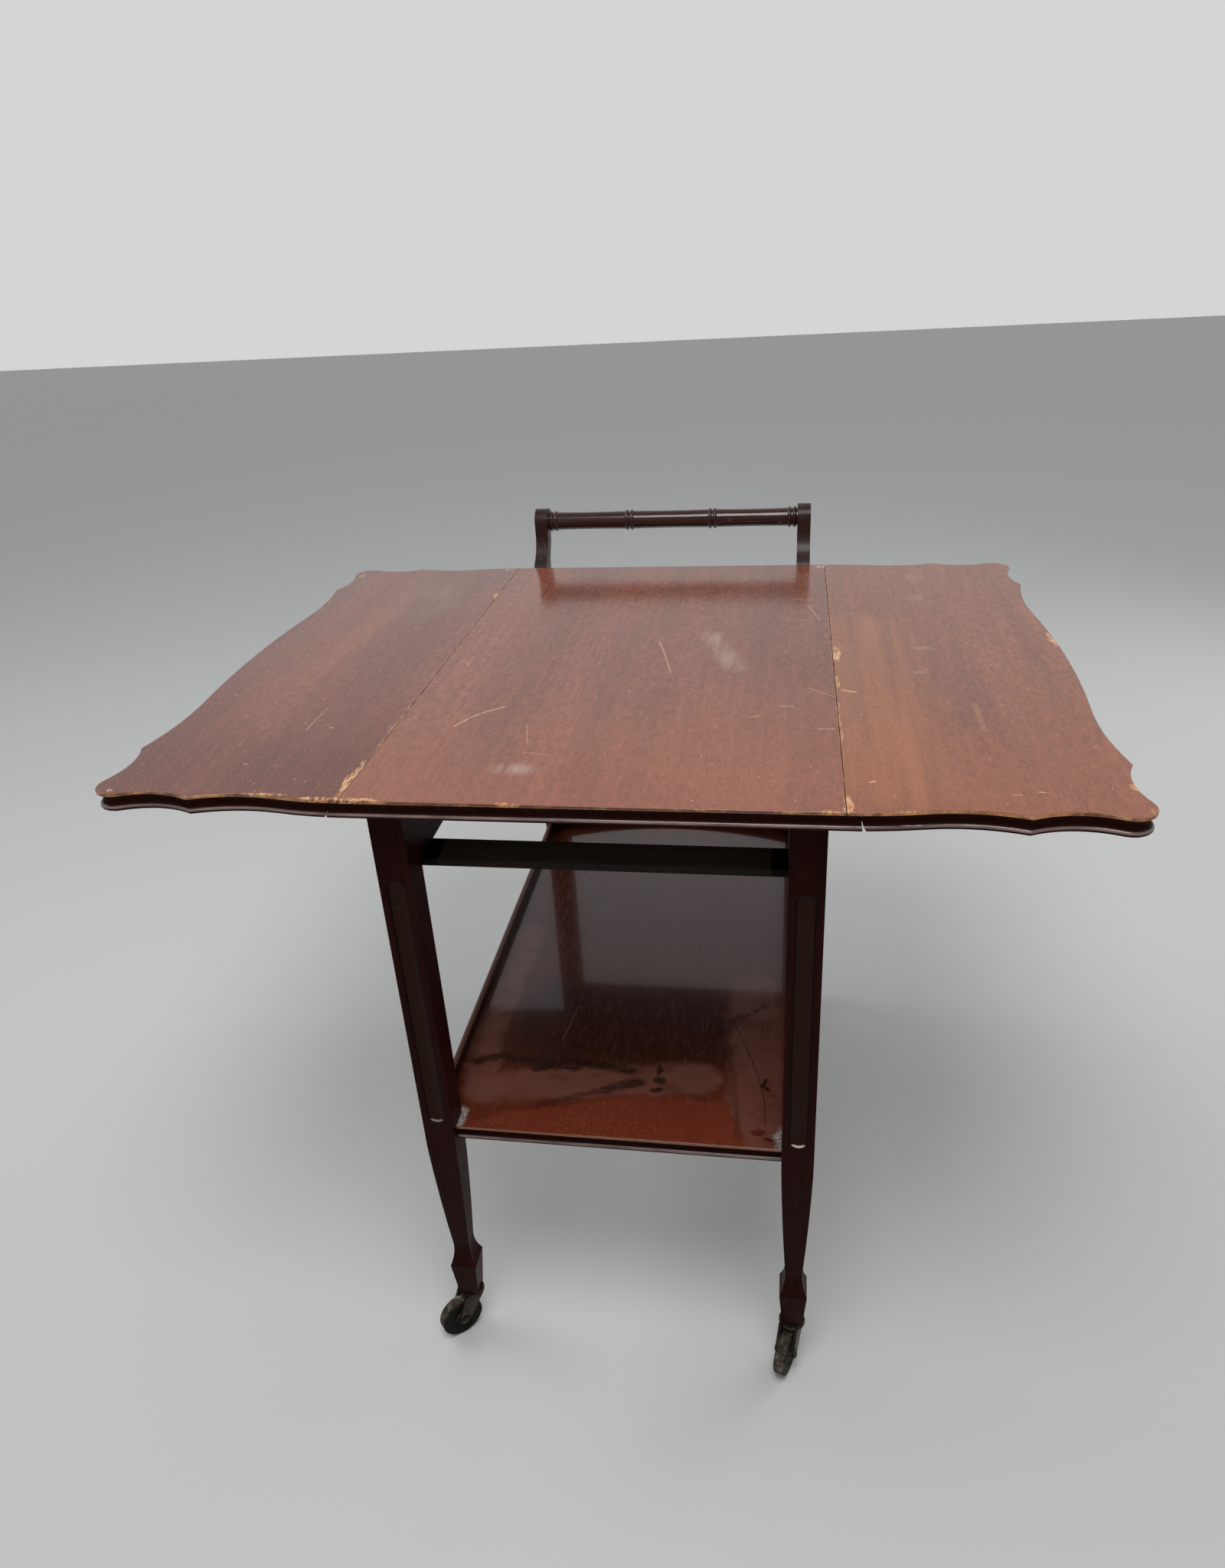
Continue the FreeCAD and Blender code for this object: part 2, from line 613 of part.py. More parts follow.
def make_leg(side, end):
    """One leg; all are cut at the right rear corner and mirrored to their place."""
    leg = leg_profile(ACROSS).common(leg_profile(ALONG)).cut(flute())
    leg.translate(V(LEG_X, LEG_Y, 0))
    stem = Part.makeCylinder(STEM_RADIUS + RUNNING_CLEAR, STEM_LENGTH + MORTISE_END_GAP,
                             V(LEG_X, LEG_Y, FOOT_HEIGHT), UP)
    waste = [side_tenon(WOOD_CLEAR), shelf_dowel(RUNNING_CLEAR), stem]
    if end > 0:
        waste.append(rear_tenon(WOOD_CLEAR))
        waste += [screw_hole(*spec) for spec in handle_screw_specs()]
    return to_corner(leg.cut(waste), side, end)


def make_side_apron():
    """Right side apron with a tenon at each end."""
    apron = box(V(LEG_IN_X, -LEG_IN_Y, RAIL_LOW), V(APRON_OUT_X, LEG_IN_Y, UNDERSIDE))
    tenon = side_tenon(0)
    apron = apron.fuse([tenon, flip_y(tenon)]).removeSplitter()
    return apron.cut([screw_hole(*spec) for spec in fly_screw_specs() + bearer_screw_specs()])


def make_rear_apron():
    """Full apron between the rear legs."""
    apron = box(V(-LEG_IN_X, RAIL_IN_Y, RAIL_LOW), V(LEG_IN_X, RAIL_OUT_Y, UNDERSIDE))
    tenon = rear_tenon(0)
    return apron.fuse([tenon, flip_x(tenon)]).removeSplitter()


def bearer_screw_specs():
    """Size and place of the two screws that go up through the bearer into the right apron."""
    x = LEG_IN_X + APRON_THICK / 2
    middle_y = BEARER_DEPTH / 2 - LEG_IN_Y
    length = BEARER_THICK + BEARER_SCREW_BITE
    return [(BEARER_SCREW_RADIUS, BEARER_SCREW_HEAD, length,
             V(x, middle_y + way * BEARER_SCREW_PITCH / 2, RAIL_LOW - BEARER_THICK), UP)
            for way in (-1, 1)]


def make_bearer():
    """Flat bearer under the side aprons, just behind the front legs; the front above it is open."""
    bearer = box(V(-APRON_OUT_X, -LEG_IN_Y, RAIL_LOW - BEARER_THICK),
                 V(APRON_OUT_X, BEARER_DEPTH - LEG_IN_Y, RAIL_LOW))
    holes = [screw_hole(*spec) for spec in bearer_screw_specs()]
    return bearer.cut(holes + [flip_x(hole) for hole in holes])


def block_screw_specs():
    """Size and place of each screw that goes up through a block into the top."""
    specs = []
    for side in SIDES.values():
        for share in BLOCK_SHARES:
            tip = V(side * (LEG_IN_X - BLOCK_SIZE / 2), share * LEG_IN_Y, UNDERSIDE - BLOCK_SIZE)
            specs.append((BLOCK_SCREW_RADIUS, BLOCK_SCREW_HEAD, BLOCK_SIZE + BLOCK_SCREW_BITE, tip, UP))
    return specs


def make_blocks():
    """Glue blocks in the corner between the side aprons and the top."""
    blocks = []
    for share in BLOCK_SHARES:
        y = share * LEG_IN_Y
        block = box(V(LEG_IN_X - BLOCK_SIZE, y - BLOCK_LENGTH / 2, UNDERSIDE - BLOCK_SIZE),
                    V(LEG_IN_X, y + BLOCK_LENGTH / 2, UNDERSIDE))
        blocks += [block, flip_x(block)]
    holes = [screw_hole(*spec) for spec in block_screw_specs()]
    return Part.makeCompound([block.cut(holes) for block in blocks])


def make_shelf():
    """Lower shelf, notched round the legs, with a moulded front and rebates for the galleries."""
    across = box(V(-LEG_IN_X, -SHELF_END_Y, SHELF_LOW), V(LEG_IN_X, SHELF_REAR_Y, SHELF_HEIGHT))
    along = box(V(-SHELF_SIDE_X, -LEG_IN_Y, SHELF_LOW), V(SHELF_SIDE_X, LEG_IN_Y, SHELF_HEIGHT))
    moulding = straight_moulding(LEG_IN_X, SHELF_END_Y, SHELF_LOW, SHELF_THICK)
    waste = [flip_y(tool) for tool in moulding]
    hole = shelf_dowel(RUNNING_CLEAR)
    waste += [to_corner(hole, side, end) for side in SIDES.values() for end in ENDS.values()]
    over_z = SHELF_HEIGHT + OVERRUN
    rebate = box(V(GALLERY_IN_X, -LEG_IN_Y, GALLERY_LOW), V(SHELF_SIDE_X + OVERRUN, LEG_IN_Y, over_z))
    rear_rebate = box(V(-LEG_IN_X, REAR_GALLERY_Y, GALLERY_LOW), V(LEG_IN_X, SHELF_REAR_Y + OVERRUN, over_z))
    waste += [rebate, flip_x(rebate), rear_rebate]
    return across.fuse(along).removeSplitter().cut(waste)


def make_side_gallery():
    """Low strip with a rounded top along the right side of the shelf."""
    top_z = SHELF_HEIGHT + GALLERY_HEIGHT
    round_z = top_z - GALLERY_WIDTH / 2
    y = -LEG_IN_Y
    outer = V(SHELF_SIDE_X, y, round_z)
    inner = V(GALLERY_IN_X, y, round_z)
    edges = [arc(outer, V((SHELF_SIDE_X + GALLERY_IN_X) / 2, y, top_z), inner)]
    edges += polyline([inner, V(GALLERY_IN_X, y, GALLERY_LOW), V(SHELF_SIDE_X, y, GALLERY_LOW), outer])
    return prism(edges, ALONG * (2 * LEG_IN_Y))


def make_rear_gallery():
    """Upright between the rear legs whose top edge dips in the middle."""
    y = REAR_GALLERY_Y
    top_z = SHELF_HEIGHT + REAR_GALLERY_HEIGHT
    left = V(-LEG_IN_X, y, top_z)
    right = V(LEG_IN_X, y, top_z)
    edges = [arc(left, V(0, y, top_z - REAR_GALLERY_DIP), right)]
    edges += polyline([right, V(LEG_IN_X, y, GALLERY_LOW), V(-LEG_IN_X, y, GALLERY_LOW), left])
    return prism(edges, ALONG * REAR_GALLERY_THICK)


def handle_screw_specs():
    """Size and place of the two screws that hold the right handle bracket to its leg."""
    middle_z = UNDERSIDE - HANDLE_TAIL_DROP + HANDLE_TAIL_FLAT / 2
    length = HANDLE_TAIL_THICK + HANDLE_SCREW_BITE
    return [(HANDLE_SCREW_RADIUS, HANDLE_SCREW_HEAD, length,
             V(LEG_X, LEG_END_Y + HANDLE_TAIL_THICK, middle_z + way * HANDLE_SCREW_PITCH / 2), -ALONG)
            for way in (-1, 1)]


def make_handle_bracket():
    """Right handle bracket: tail on the leg, swelling past the top's edge up to a round head."""
    x = LEG_X - HANDLE_THICK / 2

    def at(y, z):
        return V(x, y, z)

    shelter_z = UNDERSIDE - HANDLE_EDGE_GAP
    front_y = TOP_END_Y + HANDLE_EDGE_GAP
    tail_low = UNDERSIDE - HANDLE_TAIL_DROP
    tail_back = LEG_END_Y + HANDLE_TAIL_THICK
    head_front = HANDLE_Y - HANDLE_HEAD_RADIUS
    sweep_start = at(front_y, shelter_z)
    front_start = at(TOP_END_Y + HANDLE_FRONT_REACH, TOP_HEIGHT + HANDLE_FRONT_RISE)
    sweep = front_start - sweep_start
    sweep_y, sweep_z = HANDLE_SWEEP_SHARES
    sweep_mid = sweep_start + V(0, sweep.y * sweep_y, sweep.z * sweep_z)
    front_end = at(head_front, TOP_HEIGHT + HANDLE_FRONT_NECK_RISE)
    bend = front_end - front_start
    bend_y, bend_z = HANDLE_FRONT_BEND_SHARES
    front_bend = front_start + V(0, bend.y * bend_y, bend.z * bend_z)
    neck_back = at(head_front + HANDLE_BACK_NECK, TOP_HEIGHT + HANDLE_BACK_NECK_RISE)
    head_back = at(HANDLE_BACK_Y, HANDLE_Z)
    base_back = at(front_start.y + HANDLE_BASE_DEPTH, TOP_HEIGHT + HANDLE_BASE_RISE)
    flat_high = at(tail_back, tail_low + HANDLE_TAIL_FLAT)
    swell = base_back - flat_high
    swell_y, swell_z = HANDLE_SWELL_SHARES
    swell_mid = flat_high + V(0, swell.y * swell_y, swell.z * swell_z)
    neck_bend = (neck_back + head_back) * 0.5 + V(0, -1, 1).normalize() * (HANDLE_HEAD_RADIUS - BAR_RADIUS)
    foot = [at(tail_back, tail_low), at(LEG_END_Y, tail_low), at(LEG_END_Y, shelter_z)]
    edges = polyline(foot + [sweep_start])
    edges.append(arc(sweep_start, sweep_mid, front_start))
    edges.append(arc(front_start, front_bend, front_end))
    edges.append(line(front_end, at(head_front, HANDLE_Z)))
    edges.append(arc(at(head_front, HANDLE_Z), at(HANDLE_Y, HANDLE_Z + HANDLE_HEAD_RADIUS), head_back))
    edges.append(arc(head_back, neck_bend, neck_back))
    edges.append(line(neck_back, base_back))
    edges.append(arc(base_back, swell_mid, flat_high))
    edges.append(line(flat_high, at(tail_back, tail_low)))
    bracket = prism(edges, ACROSS * HANDLE_THICK)
    socket = Part.makeCylinder(BAR_TENON_RADIUS + RUNNING_CLEAR, HANDLE_THICK + 2 * OVERRUN,
                               V(x - OVERRUN, HANDLE_Y, HANDLE_Z), ACROSS)
    return bracket.cut([socket] + [screw_hole(*spec) for spec in handle_screw_specs()])


def make_handle_bar():
    """Turned bar: ring pairs at the ends and thirds, with slightly waisted bays between."""
    def at(x, radius):
        return V(x, HANDLE_Y, HANDLE_Z + radius)

    def ring(x, edges):
        shoulder = [at(x, RING_GROOVE_RADIUS), at(x + RING_WIDTH, RING_GROOVE_RADIUS)]
        edges.append(arc(shoulder[0], at(x + RING_WIDTH / 2, RING_RADIUS), shoulder[1]))
        return x + RING_WIDTH

    pair = 2 * RING_WIDTH + RING_LAND
    end_x = HANDLE_IN_X
    starts = [-end_x + RING_LAND]
    starts += [share * end_x - pair / 2 for share in BAR_SHARES]
    starts += [end_x - RING_LAND - pair]
    tenon_x = end_x + HANDLE_THICK
    edges = polyline([at(-tenon_x, 0), at(-tenon_x, BAR_TENON_RADIUS), at(-end_x, BAR_TENON_RADIUS),
                      at(-end_x, RING_GROOVE_RADIUS), at(starts[0], RING_GROOVE_RADIUS)])
    for index, start in enumerate(starts):
        if index:
            waist = at((edges[-1].Vertexes[-1].X + start) / 2, BAR_RADIUS - BAR_WAIST)
            low = edges[-1].Vertexes[-1].Point
            edges.append(line(low, at(low.x, BAR_RADIUS)))
            bay = Part.BSplineCurve()
            bay.interpolate([at(low.x, BAR_RADIUS), waist, at(start, BAR_RADIUS)])
            edges.append(bay.toShape())
            edges.append(line(at(start, BAR_RADIUS), at(start, RING_GROOVE_RADIUS)))
        x = ring(start, edges)
        edges.append(line(at(x, RING_GROOVE_RADIUS), at(x + RING_LAND, RING_GROOVE_RADIUS)))
        ring(x + RING_LAND, edges)
    last = edges[-1].Vertexes[-1].Point
    edges += polyline([last, at(end_x, RING_GROOVE_RADIUS), at(end_x, BAR_TENON_RADIUS),
                       at(tenon_x, BAR_TENON_RADIUS), at(tenon_x, 0), at(-tenon_x, 0)])
    return Part.Face(Part.Wire(edges)).revolve(at(0, 0), ACROSS, 360)


def fly_fingers(first):
    """Heights of every second finger of the knuckle, from the first one given."""
    pitch = FLY_HEIGHT / FLY_FINGERS
    lows = [FLY_LOW + index * pitch for index in range(first, FLY_FINGERS, 2)]
    return [(low, low + pitch) for low in lows]


def fly_socket(low_z, high_z, way):
    """Room in one half of the knuckle for a finger of the other half; way is where the half lies."""
    radius = FLY_THICK / 2 + FLY_CLEAR
    round_room = Part.makeCylinder(radius, high_z - low_z, V(FLY_X, FLY_PIVOT, low_z), UP)
    ends = sorted([FLY_PIVOT, FLY_PIVOT + way * radius])
    corner = box(V(FLY_X, ends[0], low_z), V(FLY_X + radius + OVERRUN, ends[1], high_z))
    return [round_room, corner]


def fly_pin_hole():
    return Part.makeCylinder(FLY_PIN_RADIUS + RUNNING_CLEAR, FLY_HEIGHT + 2 * OVERRUN,
                             V(FLY_X, FLY_PIVOT, FLY_LOW - OVERRUN), UP)


def make_fly_bracket():
    """Right swinging bracket, folded along the apron, with its outer fingers of the knuckle."""
    x = FLY_X - FLY_THICK / 2

    def at(reach, drop):
        return V(x, FLY_PIVOT - reach, FLY_TOP - drop)

    bend_reach = FLY_HEEL_LENGTH + (FLY_LENGTH - FLY_HEEL_LENGTH) * FLY_OGEE_SHARE
    bend_drop = (FLY_HEIGHT + FLY_TIP_HEIGHT) / 2
    heel_end = at(FLY_HEEL_LENGTH, FLY_HEIGHT)
    bend = at(bend_reach, bend_drop)
    tip_low = at(FLY_LENGTH, FLY_TIP_HEIGHT)
    rise = (FLY_HEIGHT - FLY_TIP_HEIGHT) / 8
    hollow = (heel_end + bend) * 0.5 - UP * rise
    swell = (bend + tip_low) * 0.5 + UP * rise
    edges = polyline([heel_end, at(0, FLY_HEIGHT), at(0, 0), at(FLY_LENGTH, 0), tip_low])
    edges += [arc(tip_low, swell, bend), arc(bend, hollow, heel_end)]
    arm = prism(edges, ACROSS * FLY_THICK)
    barrel = Part.makeCylinder(FLY_THICK / 2, FLY_HEIGHT, V(FLY_X, FLY_PIVOT, FLY_LOW), UP)
    bracket = arm.fuse(barrel).removeSplitter()
    waste = [fly_pin_hole()]
    for low_z, high_z in fly_fingers(1):
        waste += fly_socket(low_z - FLY_FINGER_GAP / 2, high_z + FLY_FINGER_GAP / 2, -1)
    return bracket.cut(waste)


def fly_screw_specs():
    """Size and place of the screws through the right knuckle block into the apron."""
    head_x = APRON_OUT_X + FLY_CLEAR + FLY_THICK
    length = FLY_CLEAR + FLY_THICK + FLY_SCREW_BITE
    return [(FLY_SCREW_RADIUS, FLY_SCREW_HEAD, length,
             V(head_x, FLY_PIVOT + share * FLY_BLOCK_LENGTH, (FLY_TOP + FLY_LOW) / 2), -ACROSS)
            for share in FLY_SCREW_SHARES]


def make_fly_block():
    """Fixed half of the right knuckle, screwed to the apron."""
    body = box(V(APRON_OUT_X, FLY_PIVOT, FLY_LOW),
               V(APRON_OUT_X + FLY_CLEAR + FLY_THICK, FLY_PIVOT + FLY_BLOCK_LENGTH, FLY_TOP))
    barrel = Part.makeCylinder(FLY_THICK / 2, FLY_HEIGHT, V(FLY_X, FLY_PIVOT, FLY_LOW), UP)
    waste = [fly_pin_hole()] + [screw_hole(*spec) for spec in fly_screw_specs()]
    for low_z, high_z in fly_fingers(0):
        waste += fly_socket(low_z - FLY_FINGER_GAP / 2, high_z + FLY_FINGER_GAP / 2, 1)
    return body.fuse(barrel).removeSplitter().cut(waste)


def make_fly_pin():
    return Part.makeCylinder(FLY_PIN_RADIUS, FLY_HEIGHT, V(FLY_X, FLY_PIVOT, FLY_LOW), UP)


def place_castor(shape, corner):
    """Turn a castor piece made with its trail along +X, and set it under its leg."""
    end, side = corner.split("_")
    moved = shape.copy()
    moved.rotate(ORIGIN, UP, CASTOR_HEADING_DEG[corner])
    moved.translate(V(SIDES[side] * LEG_X, ENDS[end] * LEG_Y, 0))
    return moved


def revolved(points, centre, axis):
    return Part.Face(Part.makePolygon(points + points[:1])).revolve(centre, axis, 360)


def crown_top():
    return FOOT_HEIGHT - COLLAR_THICK - SWIVEL_GAP


def make_castor_pin():
    """Stem in the leg, collar under the foot and the pintle that the fork turns on."""
    head_top = crown_top() - CROWN_THICK - SWIVEL_GAP
    head_low = head_top - PINTLE_HEAD_THICK
    collar_low = FOOT_HEIGHT - COLLAR_THICK
    stem_top = FOOT_HEIGHT + STEM_LENGTH
    steps = [(PINTLE_HEAD_RADIUS, head_low, head_top), (PINTLE_RADIUS, head_top, collar_low),
             (COLLAR_RADIUS, collar_low, FOOT_HEIGHT), (STEM_RADIUS, FOOT_HEIGHT, stem_top)]
    points = [V(0, 0, head_low)]
    for radius, low, high in steps:
        points += [V(radius, 0, low), V(radius, 0, high)]
    return revolved(points + [V(0, 0, stem_top)], ORIGIN, UP)


def fork_arm(inner_y):
    """One arm of the fork, from the crown down to the axle."""
    top_z = crown_top()
    axle = V(CASTOR_TRAIL, inner_y, WHEEL_RADIUS)

    def tangent(corner, sense):
        gap = corner - axle
        swing = math.degrees(math.acos(FORK_ARM_END / gap.Length))
        spoke = FreeCAD.Rotation(ALONG, sense * swing).multVec(gap)
        return axle + spoke.normalize() * FORK_ARM_END

    front = V(-FORK_ARM_FRONT, inner_y, top_z - CROWN_THICK)
    front_top = V(-FORK_ARM_FRONT, inner_y, top_z)
    back = V(FORK_ARM_BACK, inner_y, top_z)
    front_touch = tangent(front, -1)
    back_touch = tangent(back, 1)
    low = axle + (front_touch + back_touch - axle * 2).normalize() * -FORK_ARM_END
    edges = polyline([front_touch, front, front_top, back, back_touch])
    edges.append(arc(back_touch, low, front_touch))
    return prism(edges, ALONG * FORK_ARM_THICK)


def make_fork():
    """Castor fork: a rounded crown turning on the pintle and two arms down to the axle."""
    top_z = crown_top()
    low_z = top_z - CROWN_THICK
    half = CROWN_THICK / 2
    rim = CROWN_RADIUS - half
    edges = polyline([V(rim, 0, top_z), V(0, 0, top_z), V(0, 0, low_z), V(rim, 0, low_z)])
    edges.append(arc(V(rim, 0, low_z), V(CROWN_RADIUS, 0, top_z - half), V(rim, 0, top_z)))
    crown = Part.Face(Part.Wire(edges)).revolve(ORIGIN, UP, 360)
    inner = HUB_WIDTH / 2 + FORK_SIDE_GAP
    outer = inner + FORK_ARM_THICK
    fork = crown.fuse([fork_arm(inner), fork_arm(-outer)]).removeSplitter()
    pintle = Part.makeCylinder(PINTLE_RADIUS + RUNNING_CLEAR, CROWN_THICK + 2 * OVERRUN,
                               V(0, 0, low_z - OVERRUN), UP)
    axle = Part.makeCylinder(AXLE_RADIUS + RUNNING_CLEAR, 2 * (outer + OVERRUN),
                             V(CASTOR_TRAIL, -outer - OVERRUN, WHEEL_RADIUS), ALONG)
    return fork.cut([pintle, axle])


def make_axle():
    """Axle riveted over at both ends."""
    arm_out = HUB_WIDTH / 2 + FORK_SIDE_GAP + FORK_ARM_THICK
    head_out = arm_out + AXLE_HEAD_THICK

    def at(radius, y):
        return V(CASTOR_TRAIL + radius, y, WHEEL_RADIUS)

    dome_radius = (AXLE_HEAD_RADIUS ** 2 + AXLE_HEAD_THICK ** 2) / (2 * AXLE_HEAD_THICK)
    half_turn = math.asin(AXLE_HEAD_RADIUS / dome_radius) / 2
    dome = dome_radius * math.sin(half_turn)
    crown = head_out - dome_radius * (1 - math.cos(half_turn))
    edges = polyline([at(0, -head_out), at(0, head_out)])
    edges.append(arc(at(0, head_out), at(dome, crown), at(AXLE_HEAD_RADIUS, arm_out)))
    edges += polyline([at(AXLE_HEAD_RADIUS, arm_out), at(AXLE_RADIUS, arm_out), at(AXLE_RADIUS, -arm_out),
                       at(AXLE_HEAD_RADIUS, -arm_out)])
    edges.append(arc(at(AXLE_HEAD_RADIUS, -arm_out), at(dome, -crown), at(0, -head_out)))
    return Part.Face(Part.Wire(edges)).revolve(at(0, 0), ALONG, 360)


def make_wheel():
    """Castor wheel with a dished side and a hub."""
    half = WHEEL_WIDTH / 2
    hub = HUB_WIDTH / 2
    dish = half - WHEEL_DISH_DEPTH
    bore = AXLE_RADIUS + RUNNING_CLEAR
    side = [(bore, hub), (HUB_RADIUS, hub), (HUB_RADIUS, dish), (WHEEL_DISH_RADIUS - WHEEL_DISH_DEPTH, dish),
            (WHEEL_DISH_RADIUS, half), (WHEEL_RADIUS - WHEEL_EDGE, half), (WHEEL_RADIUS, half - WHEEL_EDGE)]
    mirrored = [(radius, -y) for radius, y in reversed(side)]
    points = [V(CASTOR_TRAIL + radius, y, WHEEL_RADIUS) for radius, y in side + mirrored]
    return revolved(points, V(CASTOR_TRAIL, 0, WHEEL_RADIUS), ALONG)


def save_pair(name, shape, keep=save):
    """Save a right-hand piece and its mirror image."""
    keep(name + "_right", shape)
    keep(name + "_left", flip_x(shape))


def screws(specs):
    return [countersunk_screw(*spec) for spec in specs]


def both_sides(shapes):
    return Part.makeCompound(shapes + [flip_x(shape) for shape in shapes])


def main():
    os.makedirs("parts", exist_ok=True)
    save("top_panel", make_top())
    save_pair("leaf", make_leaf())
    hinge_ys = [share * LEG_IN_Y for share in HINGE_SHARES]
    save_pair("hinge_plates_top", Part.makeCompound([hinge_plate(y, -1) for y in hinge_ys]))
    save_pair("hinge_plates_leaf", Part.makeCompound([hinge_plate(y, 1) for y in hinge_ys]))
    save_pair("hinge_pins", Part.makeCompound(hinge_pins()))
    for which in ("top", "leaf"):
        save_pair("hinge_screws_" + which, Part.makeCompound(screws(hinge_screw_specs(which))))
    for end_name, end in ENDS.items():
        for side_name, side in SIDES.items():
            save_frame("leg_" + end_name + "_" + side_name, make_leg(side, end))
    save_pair("side_apron", make_side_apron(), save_frame)
    save_frame("rear_apron", make_rear_apron())
    save_frame("front_bearer", make_bearer())
    save_frame("bearer_screws", both_sides(screws(bearer_screw_specs())))
    save_frame("top_blocks", make_blocks())
    save_frame("top_block_screws", Part.makeCompound(screws(block_screw_specs())))
    save_frame("shelf", make_shelf())
    dowels = [to_corner(shelf_dowel(0), side, end) for side in SIDES.values() for end in ENDS.values()]
    save_frame("shelf_dowels", Part.makeCompound(dowels))
    save_pair("shelf_gallery", make_side_gallery(), save_frame)
    save_frame("shelf_gallery_rear", make_rear_gallery())
    save_pair("handle_bracket", make_handle_bracket(), save_frame)
    save_frame("handle_bar", make_handle_bar())
    save_frame("handle_screws", both_sides(screws(handle_screw_specs())))
    save_pair("fly_bracket", make_fly_bracket(), save_frame)
    save_pair("fly_block", make_fly_block(), save_frame)
    save_pair("fly_pin", make_fly_pin(), save_frame)
    save_frame("fly_block_screws", both_sides(screws(fly_screw_specs())))
    for corner in CASTOR_HEADING_DEG:
        save_frame("castor_pin_" + corner, place_castor(make_castor_pin(), corner))
        save_frame("castor_fork_" + corner, place_castor(make_fork(), corner))
        save_frame("castor_axle_" + corner, place_castor(make_axle(), corner))
        save_frame("castor_wheel_" + corner, place_castor(make_wheel(), corner))


main()
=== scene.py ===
import json
import math

import bpy
from mathutils import Matrix, Vector


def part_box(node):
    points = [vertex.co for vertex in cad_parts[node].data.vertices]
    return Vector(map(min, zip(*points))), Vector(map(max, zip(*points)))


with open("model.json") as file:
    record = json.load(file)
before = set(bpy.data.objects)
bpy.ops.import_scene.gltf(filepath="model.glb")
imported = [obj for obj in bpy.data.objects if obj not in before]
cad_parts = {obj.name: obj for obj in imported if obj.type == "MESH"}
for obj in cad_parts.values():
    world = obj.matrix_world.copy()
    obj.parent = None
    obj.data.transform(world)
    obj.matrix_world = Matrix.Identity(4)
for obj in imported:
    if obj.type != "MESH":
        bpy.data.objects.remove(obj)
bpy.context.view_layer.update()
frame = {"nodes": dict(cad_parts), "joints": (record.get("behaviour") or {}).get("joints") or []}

nodes = frame["nodes"]
joints = {joint["name"]: joint for joint in frame["joints"]}


# Building node trees

class Nodes:
    """A node tree with short calls for the nodes used here."""

    def __init__(self, tree):
        self.tree = tree

    def put(self, socket, value):
        if isinstance(value, bpy.types.NodeSocket):
            self.tree.links.new(value, socket)
        else:
            socket.default_value = value

    def node(self, kind, inputs, **settings):
        made = self.tree.nodes.new(kind)
        for name, value in settings.items():
            setattr(made, name, value)
        for name, value in inputs.items():
            self.put(made.inputs[name], value)
        return made

    def math(self, operation, first, second=0.0, clamp=False):
        made = self.node("ShaderNodeMath", {0: first, 1: second}, operation=operation, use_clamp=clamp)
        return made.outputs[0]

    def product(self, first, *others):
        made = first
        for other in others:
            made = self.math("MULTIPLY", made, other)
        return made

    def vector(self, operation, first, second=(0, 0, 0)):
        made = self.node("ShaderNodeVectorMath", {0: first, 1: second}, operation=operation)
        return made.outputs["Value" if operation in ("DOT_PRODUCT", "LENGTH", "DISTANCE") else "Vector"]

    def scaled(self, vector, amount):
        made = self.node("ShaderNodeVectorMath", {0: vector}, operation="SCALE")
        self.put(made.inputs["Scale"], amount)
        return made.outputs["Vector"]

    def axis(self, vector, name):
        return self.node("ShaderNodeSeparateXYZ", {0: vector}).outputs[name]

    def span(self, value, low, high, start=0.0, end=1.0):
        """Value mapped from low-high to start-end and held there, with soft ends."""
        made = self.node("ShaderNodeMapRange", {"Value": value, "From Min": low, "From Max": high,
                                                "To Min": start, "To Max": end},
                         interpolation_type="SMOOTHSTEP")
        return made.outputs[0]

    def mix(self, factor, first, second, blend="MIX"):
        made = self.node("ShaderNodeMix", {}, data_type="RGBA", blend_type=blend, clamp_factor=True)
        self.put(made.inputs[0], factor)
        self.put(made.inputs[6], first if isinstance(first, bpy.types.NodeSocket) else (*first, 1))
        self.put(made.inputs[7], second if isinstance(second, bpy.types.NodeSocket) else (*second, 1))
        return made.outputs[2]

    def ramp(self, value, stops):
        made = self.node("ShaderNodeValToRGB", {0: value})
        ramp = made.color_ramp
        while len(ramp.elements) < len(stops):
            ramp.elements.new(0.5)
        for element, (position, colour) in zip(ramp.elements, stops):
            element.position = position
            element.color = (*colour, 1)
        return made.outputs["Color"]


